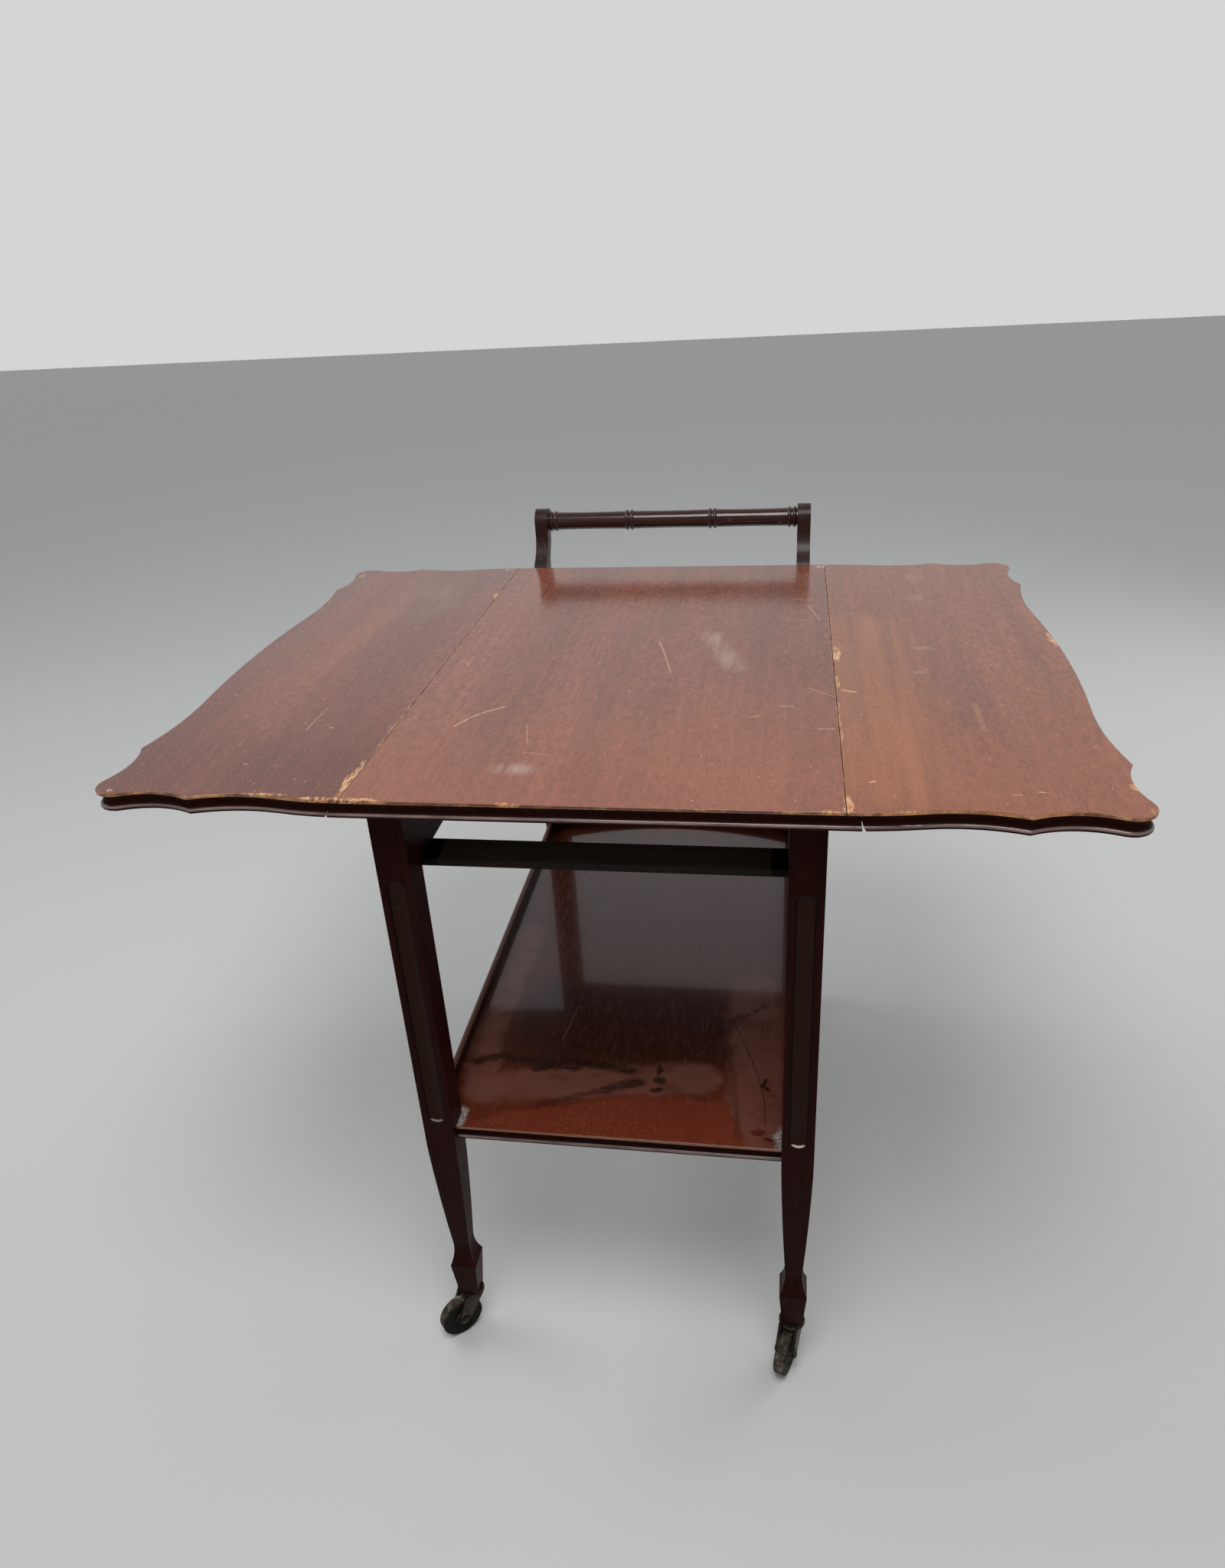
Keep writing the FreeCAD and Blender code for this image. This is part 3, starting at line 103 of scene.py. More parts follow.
class Shader(Nodes):
    """A material with one surface shader, and masks that follow the object's own place."""

    def __init__(self, name):
        self.material = bpy.data.materials.new(name)
        self.material.use_nodes = True
        super().__init__(self.material.node_tree)
        self.tree.nodes.clear()
        self.surface = self.node("ShaderNodeBsdfPrincipled", {})
        self.node("ShaderNodeOutputMaterial", {"Surface": self.surface.outputs[0]})
        coordinates = self.node("ShaderNodeTexCoord", {})
        self.place = coordinates.outputs["Object"]
        self.facing = coordinates.outputs["Normal"]
        self.normal = self.node("ShaderNodeNewGeometry", {}).outputs["Normal"]

    def set(self, **values):
        """Values of the surface shader, with underscores for spaces in the sockets' names."""
        for name, value in values.items():
            self.put(self.surface.inputs[name.replace("_", " ")], value)

    def noise(self, scale, detail=2.0, rough=0.5, offset=(0, 0, 0)):
        """Soft noise over the object's own place, with a frequency per metre on each axis."""
        place = self.vector("MULTIPLY", self.vector("ADD", self.place, offset), scale)
        made = self.node("ShaderNodeTexNoise", {"Vector": place, "Scale": 1.0, "Detail": detail,
                                                "Roughness": rough})
        return made.outputs["Fac"]

    def edges(self, radius, weak, strong):
        """How near a point is to a sharp edge: 0 on a flat, 1 at the edge."""
        bent = self.node("ShaderNodeBevel", {"Radius": radius}, samples=6).outputs["Normal"]
        return self.span(self.vector("DOT_PRODUCT", bent, self.normal), weak, strong)

    def open_to_air(self, reach):
        """1 in the open, falling to 0 in a crevice."""
        return self.node("ShaderNodeAmbientOcclusion", {"Distance": reach}, samples=8).outputs["AO"]

    def bump(self, height, depth):
        made = self.node("ShaderNodeBump", {"Height": height, "Distance": depth, "Strength": 1.0})
        self.set(Normal=made.outputs[0])

    def bent(self, scale, amount):
        """The object's own place pushed about by noise, for ragged outlines."""
        place = self.vector("MULTIPLY", self.place, scale)
        shake = self.node("ShaderNodeTexNoise",
                          {"Vector": place, "Scale": 1.0, "Detail": 4.0, "Roughness": 0.65})
        push = self.vector("SUBTRACT", shake.outputs["Color"], (0.5, 0.5, 0.5))
        return self.vector("ADD", self.place, self.scaled(push, amount))

    def stroke(self, points, width, place=None):
        """Mask of a scratch along a few points of a level surface, in metres."""
        flat = self.vector("MULTIPLY", place or self.place, (1, 1, 0))
        mask = None
        for start, end in zip(points, points[1:]):
            run = Vector((end[0] - start[0], end[1] - start[1], 0))
            offset = self.vector("SUBTRACT", flat, (*start, 0))
            share = self.vector("DOT_PRODUCT", offset, tuple(run / run.length_squared))
            share = self.math("ADD", share, 0.0, clamp=True)
            gap = self.vector("DISTANCE", offset, self.scaled(tuple(run), share))
            part = self.span(gap, width, width * 0.25)
            mask = part if mask is None else self.math("MAXIMUM", mask, part)
        return mask

    def nicks(self, scale, stretch, turn_deg, share, width):
        """Mask of small dents strewn over a level surface, drawn out along one direction."""
        turn = math.radians(turn_deg)
        run = self.vector("DOT_PRODUCT", self.place, (math.cos(turn), math.sin(turn), 0))
        side = self.vector("DOT_PRODUCT", self.place, (-math.sin(turn), math.cos(turn), 0))
        flat = self.node("ShaderNodeCombineXYZ", {0: self.product(run, scale / stretch),
                                                  1: self.product(side, scale)}).outputs[0]
        cells = self.node("ShaderNodeTexVoronoi", {"Vector": flat, "Scale": 1.0}, voronoi_dimensions="2D")
        chance = self.axis(cells.outputs["Color"], "X")
        near = self.span(cells.outputs["Distance"], width, width * 0.5)
        return self.product(near, self.math("LESS_THAN", chance, share))

    def spot(self, centre, reach, core=0.0, place=None):
        """Soft round or long spot on a level surface: 1 in the middle, 0 at its reach."""
        offset = self.vector("SUBTRACT", place or self.place, (*centre, 0))
        scaled = self.vector("MULTIPLY", offset, (1 / reach[0], 1 / reach[1], 0))
        return self.span(self.vector("LENGTH", scaled), 1.0, core)


GRAIN = {"x": (1.0, 24.0, 24.0), "y": (24.0, 1.0, 24.0), "z": (24.0, 24.0, 1.0)}
# Dark stain of the mouldings, partly painted shade under the lip
STAIN_AND_SHADE = (0.0280, 0.0080, 0.0055)
RAW = (0.040, 0.020, 0.012)
LIP_DEPTH = 0.0028
LIP_BLUR = 0.0003

# Heights above a moulded board's underside, each from the start to the end of a soft change
LINE_RISE, LINE_FALL = (0.0028, 0.0040), (0.0058, 0.0051)
BEAD_END, COVE_START = (0.0062, 0.0056), (0.0052, 0.0066)


def times(vector, amount):
    return tuple(part * amount for part in vector)


class Wood(Shader):
    """Polished wood: bands, streaks and pores along the grain, worn edges, and dirt with painted shade in
    the corners.
    """

    def __init__(self, name, grain, tones, pore, seed=0.0):
        super().__init__(name)
        along = GRAIN[grain]
        shift = (seed, seed * 0.7, seed * 1.3)
        self.streaks = self.noise(times(along, 7.0), 4.0, 0.6, shift)
        bands = self.noise(times(along, 0.55), 2.0, 0.5, shift)
        self.pores = self.span(self.noise(times(along, 42.0), 2.0, 0.6, shift), 0.60, 0.72)
        self.flecks = self.span(self.noise(times(along, 30.0), 3.0, 0.7, times(shift, 2.0)), 0.56, 0.74)
        blend = self.math("ADD", self.product(self.streaks, 0.55), self.product(bands, 0.45))
        colour = self.ramp(blend, [(0.30, tones[0]), (0.50, tones[1]), (0.72, tones[2])])
        self.colour = self.mix(self.product(self.pores, 0.55), colour, pore)
        self.blotch = self.noise((9, 9, 9), 3.0, 0.6, shift)
        self.worn = 0.0
        self.dull = 0.0

    def shade(self, low, high, value, dark, light):
        """Colour made darker to lighter as a value goes from low to high."""
        self.colour = self.mix(1.0, self.colour, self.span(value, low, high, dark, light), "MULTIPLY")

    def tint(self, mask, amount, colour):
        self.colour = self.mix(self.product(mask, amount), self.colour, colour)

    def fleck(self, colour, amount):
        self.tint(self.flecks, amount, colour)

    def wear(self, colour, radius, amount, patch=30.0, limit=1.0):
        """Bare wood where edges have worn through, in patches."""
        edge = self.product(self.edges(radius, 0.985, 0.80), limit)
        patches = self.noise((patch, patch, patch), 3.0, 0.65, (3, 1, 2))
        patches = self.span(patches, 0.62 - 0.3 * amount, 0.70)
        self.worn = self.product(edge, patches)
        self.colour = self.mix(self.worn, self.colour, colour)

    def dirt_and_shade(self, colour, reach, amount):
        # Darker in crevices, corners and between parts: dirt, and painted shade
        self.tint(self.span(self.open_to_air(reach), 0.75, 0.25), amount, colour)

    def moulding(self, low, lip, sheen, where=1.0):
        """Dark cove and bead under a lip, and a plain underside; the dark below the lip is stain and painted
        shade of the lip, the bead carries a painted highlight line, and all but that line is dull.
        """
        height = self.axis(self.place, "Z")
        above = self.math("SUBTRACT", height, low)
        up = self.axis(self.facing, "Z")
        outward = self.product(self.span(up, -0.9, -0.7), where)
        below = self.product(self.span(height, lip + LIP_BLUR, lip - LIP_BLUR), outward)
        # Dark stain below the lip, partly painted shade cast by the lip
        stain_and_shade = self.mix(self.streaks, times(STAIN_AND_SHADE, 0.6), times(STAIN_AND_SHADE, 1.6))
        self.colour = self.mix(below, self.colour, stain_and_shade)
        # Painted highlight along the bead's upper half, broken up in patches
        crest = self.product(self.span(above, *LINE_RISE), self.span(above, *LINE_FALL))
        wear_and_highlight_patches = self.span(self.noise((22, 22, 22), 3.0, 0.6, (4, 2, 7)), 0.30, 0.65, 0.45, 1.0)
        bead = self.product(below, self.span(above, *BEAD_END))
        self.tint(bead, 0.9, (0.030, 0.0075, 0.0062))
        line = self.product(crest, below, wear_and_highlight_patches)
        self.tint(line, 0.95, (0.33, 0.225, 0.205))
        cove = self.product(below, self.span(above, *COVE_START))
        foot = self.product(below, self.span(above, *reversed(LINE_RISE)))
        under = self.span(up, -0.7, -0.9)
        raw = self.mix(self.streaks, times(RAW, 0.6), times(RAW, 1.4))
        self.colour = self.mix(under, self.colour, raw)
        self.dull = self.math("MAXIMUM", self.math("MAXIMUM", cove, foot), under)
        self.set(Specular_Tint=self.mix(self.dull, (1, 1, 1), sheen))

    def finish(self, rough, rough_spread, coat=0.0, coat_rough=0.1, grain_depth=0.00012, specular=0.5):
        rough_now = self.product(self.math("SUBTRACT", self.blotch, 0.5), rough_spread)
        rough_now = self.math("ADD", self.math("ADD", rough_now, rough), self.product(self.dull, 0.7))
        rough_now = self.math("ADD", rough_now, self.product(self.worn, 0.25), clamp=True)
        self.set(Base_Color=self.colour, Roughness=rough_now, Coat_Weight=coat, Coat_Roughness=coat_rough,
                 Specular_IOR_Level=specular)
        height = self.math("SUBTRACT", self.product(self.streaks, 0.5), self.pores)
        self.bump(height, grain_depth)
        return self.material


def dress(material, *names):
    for name in names:
        piece = nodes[name]
        piece.data.materials.clear()
        piece.data.materials.append(material)


# Top and leaves: worn satin mahogany with dark mouldings

PORE = (0.060, 0.016, 0.009)
BARE = (0.68, 0.31, 0.11)
PALE = (0.82, 0.49, 0.25)
HAZE = (0.56, 0.43, 0.36)
TOP_LOW, TOP_HIGH = (corner[2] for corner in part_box("top_panel"))
TOP_NICKS = ((52.0, 6.0, -55.0, 0.10, 0.024), (60.0, 4.0, 80.0, 0.12, 0.028), (130.0, 1.3, 0.0, 0.06, 0.060))


def top_wood(name, tone, near_tone, seed, tints, strokes, hazes, bare_spots):
    """Worn board of the top. Each mark in a table has its place, size, strength and, in tints, colour."""
    wood = Wood(name, "y", (times(tone, 0.76), tone, times(tone, 1.26)), PORE, seed)
    wood.shade(0.30, 0.70, wood.noise((15, 0.7, 15), 3.0, 0.55, (seed, 4, 0)), 0.84, 1.15)
    wood.shade(0.25, 0.75, wood.noise((170, 70, 170), 3.0, 0.65, (seed, 1, 6)), 0.76, 1.22)
    drift = wood.math("ADD", wood.axis(wood.place, "Y"),
                      wood.product(wood.noise((5, 2.5, 5), 3.0, 0.6, (seed, 2, 1)), 0.5))
    wood.colour = wood.mix(wood.span(drift, 0.17, -0.13, 0.0, 0.85), wood.colour,
                           wood.mix(0.5, wood.colour, near_tone))
    wood.fleck(times(tone, 1.7), 0.35)
    uneven = wood.span(wood.noise((75, 3, 75), 4.0, 0.65, (seed, 3, 8)), 0.25, 0.75)
    for points, width, amount, colour in tints:
        wood.tint(wood.product(wood.stroke(points, width), uneven), amount, colour)
    specks = wood.span(wood.noise((420, 300, 420), 3.0, 0.75, (seed, 5, 1)), 0.54, 0.66)
    wood.tint(specks, 0.60, times(tone, 1.9))
    dots = wood.span(wood.noise((360, 120, 360), 3.0, 0.7, (seed, 6, 3)), 0.54, 0.68)
    wood.tint(dots, 0.45, times(tone, 0.55))
    streaky = wood.span(wood.noise((95, 14, 95), 4.0, 0.65, (seed, 9, 2)), 0.30, 0.62)
    for centre, reach, amount in hazes:
        wood.tint(wood.product(wood.spot(centre, reach), streaky), amount, HAZE)
    marks = wood.nicks(75.0, 3.0, 25.0 + seed * 9, 0.13, 0.040)
    for scale, stretch, turn, share, width in TOP_NICKS:
        marks = wood.math("MAXIMUM", marks, wood.nicks(scale, stretch, turn + seed * 5, share, width))
    broken = wood.span(wood.noise((260, 260, 260), 2.0, 0.6), 0.28, 0.50)
    for points, width, amount in strokes:
        mark = wood.product(wood.stroke(points, width), broken)
        marks = wood.math("MAXIMUM", marks, wood.product(mark, amount))
    wood.tint(marks, 0.85, PALE)
    lip = TOP_HIGH - LIP_DEPTH
    on_lip = wood.span(wood.axis(wood.place, "Z"), lip - LIP_BLUR, lip + LIP_BLUR)
    wear_and_highlight_patches = wood.span(wood.noise((24, 24, 24), 4.0, 0.65, (seed, 7, 3)), 0.46, 0.62)
    edge = wood.product(on_lip, wood.span(wood.axis(wood.facing, "Z"), 0.75, 0.55))
    wood.colour = wood.mix(edge, wood.colour, wood.mix(wear_and_highlight_patches, times(tone, 0.7), BARE))
    ragged = wood.span(wood.noise((330, 110, 330), 4.0, 0.8), 0.42, 0.53)
    bent = wood.bent((110, 55, 110), 0.012)
    bare = wood.mix(wood.span(wood.noise((90, 60, 90), 3.0, 0.6, (1, seed, 4)), 0.42, 0.70), BARE, PALE)
    for centre, reach, amount in bare_spots:
        wood.tint(wood.product(wood.spot(centre, reach, 0.6, bent), ragged), amount, bare)
    wood.wear(PALE, 0.0015, 0.92, 60.0, on_lip)
    wood.dirt_and_shade((0.006, 0.002, 0.0015), 0.0035, 0.9)
    wood.moulding(TOP_LOW, lip, (0.06, 0.03, 0.02))
    return wood.finish(0.15, 0.10, grain_depth=0.00006, specular=0.54)


WARM = (0.42, 0.15, 0.058)
MAUVE = (0.175, 0.066, 0.055)
OLIVE = (0.20, 0.095, 0.050)
DUSK = (0.105, 0.028, 0.021)
dress(top_wood("top_panel_wood", (0.246, 0.082, 0.048), (0.345, 0.112, 0.054), 0.0, tints=[
    (((0.078, 0.034), (0.090, -0.006), (0.112, -0.070)), 0.019, 0.42, HAZE),
    (((-0.13, 0.20), (-0.13, -0.30)), 0.045, 0.45, MAUVE),
    (((-0.02, 0.10), (-0.01, -0.26)), 0.035, 0.40, MAUVE),
    (((0.13, 0.20), (0.12, -0.10)), 0.050, 0.35, MAUVE),
    (((0.03, -0.25), (0.14, -0.32)), 0.090, 0.30, WARM),
], strokes=[
    (((-0.155, -0.228), (-0.144, -0.207), (-0.132, -0.193), (-0.116, -0.180)), 0.0014, 1.0),
    (((0.021, 0.011), (0.032, -0.034), (0.044, -0.087)), 0.0010, 0.8),
    (((0.028, 0.008), (0.044, 0.021)), 0.0009, 0.6),
    (((-0.083, -0.224), (-0.074, -0.262)), 0.0008, 0.5),
    (((-0.073, -0.284), (-0.051, -0.288)), 0.0009, 0.5),
    (((0.190, 0.141), (0.203, 0.085)), 0.0010, 0.7),
    (((0.170, 0.164), (0.195, 0.160)), 0.0011, 0.7),
    (((0.157, 0.085), (0.194, 0.085)), 0.0010, 0.5),
    (((0.187, -0.126), (0.212, -0.148)), 0.0008, 0.6),
    (((0.161, -0.173), (0.172, -0.172)), 0.0010, 0.9),
    (((0.195, -0.225), (0.210, -0.224)), 0.0010, 0.7),
    (((0.131, -0.200), (0.140, -0.196)), 0.0010, 0.8),
    (((-0.197, -0.053), (-0.190, -0.056), (-0.184, -0.068)), 0.0011, 0.6),
], hazes=[
    ((0.083, 0.016), (0.012, 0.030), 0.35),
    ((0.102, -0.040), (0.014, 0.040), 0.35),
    ((-0.074, -0.318), (0.032, 0.017), 0.60),
], bare_spots=[
    ((-0.200, -0.3825), (0.028, 0.0038), 1.0),
    ((0.203, -0.3835), (0.013, 0.003), 1.0),
    ((0.2135, -0.372), (0.0014, 0.016), 0.8),
    ((-0.066, -0.3840), (0.014, 0.003), 0.9),
    ((0.209, 0.304), (0.009, 0.008), 0.8),
]), "top_panel")
dress(top_wood("leaf_left_wood", (0.222, 0.070, 0.043), (0.112, 0.026, 0.018), 3.1, tints=[
    (((-0.376, -0.200), (-0.367, -0.083), (-0.347, 0.114)), 0.032, 0.30, WARM),
    (((-0.420, -0.100), (-0.410, 0.060)), 0.030, 0.45, OLIVE),
    (((-0.280, -0.330), (-0.265, 0.000)), 0.050, 0.55, MAUVE),
    (((-0.300, 0.120), (-0.290, 0.280)), 0.060, 0.35, OLIVE),
    (((-0.240, -0.335), (-0.430, -0.320)), 0.090, 0.75, DUSK),
], strokes=[
    (((-0.303, -0.243), (-0.303, -0.214), (-0.302, -0.187)), 0.0010, 0.5),
    (((-0.290, 0.060), (-0.283, 0.061)), 0.0012, 0.8),
    (((-0.238, -0.020), (-0.230, -0.016)), 0.0011, 0.6),
    (((-0.281, -0.235), (-0.278, -0.236)), 0.0015, 0.9),
    (((-0.332, -0.318), (-0.329, -0.317)), 0.0015, 0.8),
], hazes=[
    ((-0.300, 0.180), (0.090, 0.120), 0.14),
], bare_spots=[
    ((-0.2170, -0.342), (0.0058, 0.042), 1.0),
    ((-0.2150, -0.230), (0.0012, 0.090), 0.6),
    ((-0.2155, 0.188), (0.0050, 0.016), 0.9),
    ((-0.2280, 0.306), (0.0080, 0.006), 0.6),
    ((-0.2330, -0.3815), (0.024, 0.0038), 1.0),
    ((-0.2860, -0.3755), (0.026, 0.003), 0.8),
    ((-0.4390, 0.285), (0.005, 0.012), 0.5),
    ((-0.4350, -0.376), (0.004, 0.003), 0.8),
]), "leaf_left")
dress(top_wood("leaf_right_wood", (0.262, 0.085, 0.041), (0.345, 0.106, 0.046), 6.4, tints=[
    (((0.252, 0.060), (0.258, -0.330)), 0.066, 0.85, WARM),
    (((0.330, -0.060), (0.330, -0.200)), 0.040, 0.45, MAUVE),
    (((0.226, 0.280), (0.238, 0.120), (0.232, -0.200)), 0.014, 0.5, OLIVE),
    (((0.370, -0.120), (0.380, -0.340)), 0.030, 0.4, MAUVE),
], strokes=[
    (((0.222, -0.131), (0.233, -0.136)), 0.0024, 1.0),
    (((0.236, -0.331), (0.240, -0.328)), 0.0015, 0.9),
    (((0.368, -0.342), (0.377, -0.344)), 0.0013, 0.9),
    (((0.347, -0.349), (0.354, -0.348)), 0.0010, 0.7),
    (((0.344, -0.164), (0.344, -0.224)), 0.0040, 0.16),
], hazes=[
    ((0.319, 0.168), (0.020, 0.024), 0.28),
    ((0.309, -0.010), (0.016, 0.007), 0.45),
    ((0.300, -0.082), (0.012, 0.006), 0.45),
    ((0.327, 0.255), (0.016, 0.030), 0.28),
], bare_spots=[
    ((0.2180, -0.028), (0.0055, 0.026), 1.0),
    ((0.2165, -0.108), (0.0030, 0.022), 0.9),
    ((0.2153, -0.210), (0.0012, 0.090), 0.7),
    ((0.2165, -0.370), (0.0038, 0.018), 1.0),
    ((0.2800, -0.3820), (0.030, 0.0035), 0.9),
    ((0.3470, -0.3865), (0.014, 0.003), 0.9),
    ((0.4320, -0.3865), (0.016, 0.0035), 0.9),
    ((0.4520, 0.018), (0.0055, 0.026), 1.0),
    ((0.4480, -0.330), (0.0100, 0.008), 0.8),
    ((0.4500, -0.372), (0.0050, 0.008), 0.6),
]), "leaf_right")


# Frame: dark red-brown legs and aprons, and a dusty bearer

DARK_TONES = ((0.0135, 0.0024, 0.0018), (0.0235, 0.0044, 0.0033), (0.040, 0.0082, 0.0058))
BEARER_TONES = ((0.085, 0.062, 0.036), (0.125, 0.094, 0.056), (0.175, 0.136, 0.085))
BEARER_DARK_END = (0.1535, 0.1560)
FRAME_ROUGH, FRAME_SHINE = 0.36, 0.04
FOOT_FADE = (0.092, 0.078)
FLUTE_FOOT, FLUTE_HEAD = 0.3365, 0.6355
LEDGE_TILT = (0.26, 0.44)
LEGS = (
    ("leg_front_left", 0.40, 1.0), ("leg_front_right", 0.95, 3.3),
    ("leg_rear_left", 0.50, 5.6), ("leg_rear_right", 0.50, 7.9),
)


def frame_wood(name, grain, tones, seed):
    wood = Wood(name, grain, tones, times(tones[0], 0.4), seed)
    wood.fleck(times(tones[2], 1.5), 0.35)
    wood.dirt_and_shade((0.003, 0.0010, 0.0008), 0.010, 0.8)
    wood.wear((0.15, 0.060, 0.034), 0.0011, 0.35, 55.0)
    return wood


def worn_frame(name, grain, seed):
    return frame_wood(name, grain, DARK_TONES, seed).finish(FRAME_ROUGH, 0.14, specular=FRAME_SHINE)


def leg_wood(name, flute_end_highlight, seed):
    """Dark leg with small pale chips and a lighter foot; its flute is painted a lighter brown in place of
    its shading, with painted shade lines along its borders and a painted highlight on its lower end.
    """
    wood = frame_wood(name + "_wood", "z", DARK_TONES, seed)
    chips = wood.span(wood.noise((120, 120, 60), 3.0, 0.7, (seed, 1, 3)), 0.735, 0.755)
    wood.tint(chips, 0.8, (0.36, 0.24, 0.17))
    height = wood.axis(wood.place, "Z")
    wood.tint(wood.span(height, *FOOT_FADE), 0.4, (0.034, 0.015, 0.010))
    front, back = (corner[1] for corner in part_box(name))
    half = (back - front) / 2
    depth = wood.math("ABSOLUTE", wood.math("SUBTRACT", wood.axis(wood.place, "Y"), front + half))
    endwise = wood.span(wood.math("ABSOLUTE", wood.axis(wood.facing, "Y")), 0.70, 0.80)
    straight = wood.product(wood.span(height, FLUTE_FOOT - 0.001, FLUTE_FOOT),
                            wood.span(height, FLUTE_HEAD + 0.001, FLUTE_HEAD))
    end_face = wood.product(endwise, straight)
    # Lighter brown inside the flute: painted light in place of the flute's shading
    flute = wood.product(end_face, wood.span(depth, half - 0.0002, half - 0.0012))
    wood.tint(flute, 0.75, (0.034, 0.0155, 0.0100))
    # Thin dark lines along the flute's borders: painted shade
    rim = wood.product(end_face, wood.span(depth, half, half - 0.0001),
                       wood.span(depth, half - 0.0013, half - 0.0006))
    wood.tint(rim, 0.85, (0.0040, 0.0018, 0.0014))
    # Pale crescent on the flute's up-facing lower end: painted highlight
    ledge = wood.product(end_face, wood.span(wood.axis(wood.facing, "Z"), *LEDGE_TILT),
                         wood.span(depth, half - 0.0013, half - 0.0008))
    wood.tint(ledge, flute_end_highlight, (0.80, 0.72, 0.66))
    return wood.finish(FRAME_ROUGH, 0.14, specular=FRAME_SHINE)


for name, flute_end_highlight, seed in LEGS:
    dress(leg_wood(name, flute_end_highlight, seed), name)
dress(worn_frame("rear_apron_wood", "x", 5.2), "rear_apron")
dress(worn_frame("side_apron_wood", "y", 7.7), "side_apron_left", "side_apron_right")

bearer = frame_wood("front_bearer_wood", "x", BEARER_TONES, 4.2)
beyond = bearer.math("ABSOLUTE", bearer.axis(bearer.place, "X"))
bearer.tint(bearer.span(beyond, *BEARER_DARK_END), 1.0, (0.0030, 0.0020, 0.0015))
bearer.tint(bearer.span(bearer.axis(bearer.facing, "Z"), 0.7, 0.3), 0.85, (0.0045, 0.0032, 0.0022))
dress(bearer.finish(0.62, 0.16, specular=0.12), "front_bearer")


# Shelf and galleries: glossy red-brown polish with dark smears and dust

SHELF_TONES = ((0.074, 0.0125, 0.0050), (0.118, 0.0215, 0.0085), (0.165, 0.0350, 0.0145))
SMEAR = (0.020, 0.0055, 0.0030)
FILM = (0.205, 0.080, 0.058)
SHELF_LOW, SHELF_HIGH = (corner[2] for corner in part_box("shelf"))
SHELF_LIP = SHELF_HIGH - LIP_DEPTH
SHELF_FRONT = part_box("shelf")[0][1]
DUST_CORNER = (0.1700, -0.3380)
SHELF_FILM = (
    (((-0.150, -0.292), (-0.060, -0.275), (0.027, -0.265), (0.080, -0.256)), 0.036),
    (((0.137, -0.100), (0.140, -0.184), (0.142, -0.253), (0.143, -0.330)), 0.046),
    (((-0.166, 0.000), (-0.176, -0.200), (-0.160, -0.290)), 0.030),
)
SHELF_SMEARS = (
    (((-0.173, -0.250), (-0.149, -0.240), (-0.111, -0.244), (-0.066, -0.242), (-0.035, -0.245),
      (0.002, -0.251)), 0.0090, 0.85, SMEAR),
    (((-0.105, -0.258), (-0.082, -0.250), (-0.058, -0.252)), 0.0070, 0.85, SMEAR),
    (((0.014, -0.268), (-0.020, -0.281)), 0.0105, 0.80, SMEAR),
    (((-0.020, -0.281), (-0.066, -0.302), (-0.090, -0.314)), 0.0065, 0.70, (0.050, 0.012, 0.006)),
    (((0.106, -0.169), (0.109, -0.213), (0.117, -0.255), (0.120, -0.286), (0.125, -0.338)),
     0.0060, 0.45, (0.060, 0.014, 0.008)),
    (((0.105, -0.159), (0.126, -0.146), (0.150, -0.127)), 0.0040, 0.65, SMEAR),
)
SHELF_LINES = (
    (((0.113, -0.159), (0.131, -0.207), (0.144, -0.248), (0.151, -0.284), (0.153, -0.318)),
     0.0009, 0.75, SMEAR),
    (((0.152, -0.252), (0.149, -0.262), (0.155, -0.267)), 0.0036, 0.85, SMEAR),
    (((-0.083, -0.208), (-0.078, -0.175), (-0.074, -0.145)), 0.0011, 0.40, (0.26, 0.12, 0.08)),
)
SHELF_SPOTS = (
    ((0.035, -0.246), (0.004, 0.012), SMEAR),
    ((0.038, -0.263), (0.009, 0.008), SMEAR),
    ((0.036, -0.277), (0.010, 0.006), SMEAR),
    ((0.146, -0.329), (0.010, 0.008), (0.100, 0.008, 0.006)),
    ((0.157, -0.338), (0.006, 0.004), (0.070, 0.006, 0.006)),
)


def polish(name, grain, seed):
    wood = Wood(name, grain, SHELF_TONES, (0.018, 0.004, 0.002), seed)
    wood.fleck((0.19, 0.060, 0.026), 0.14)
    return wood


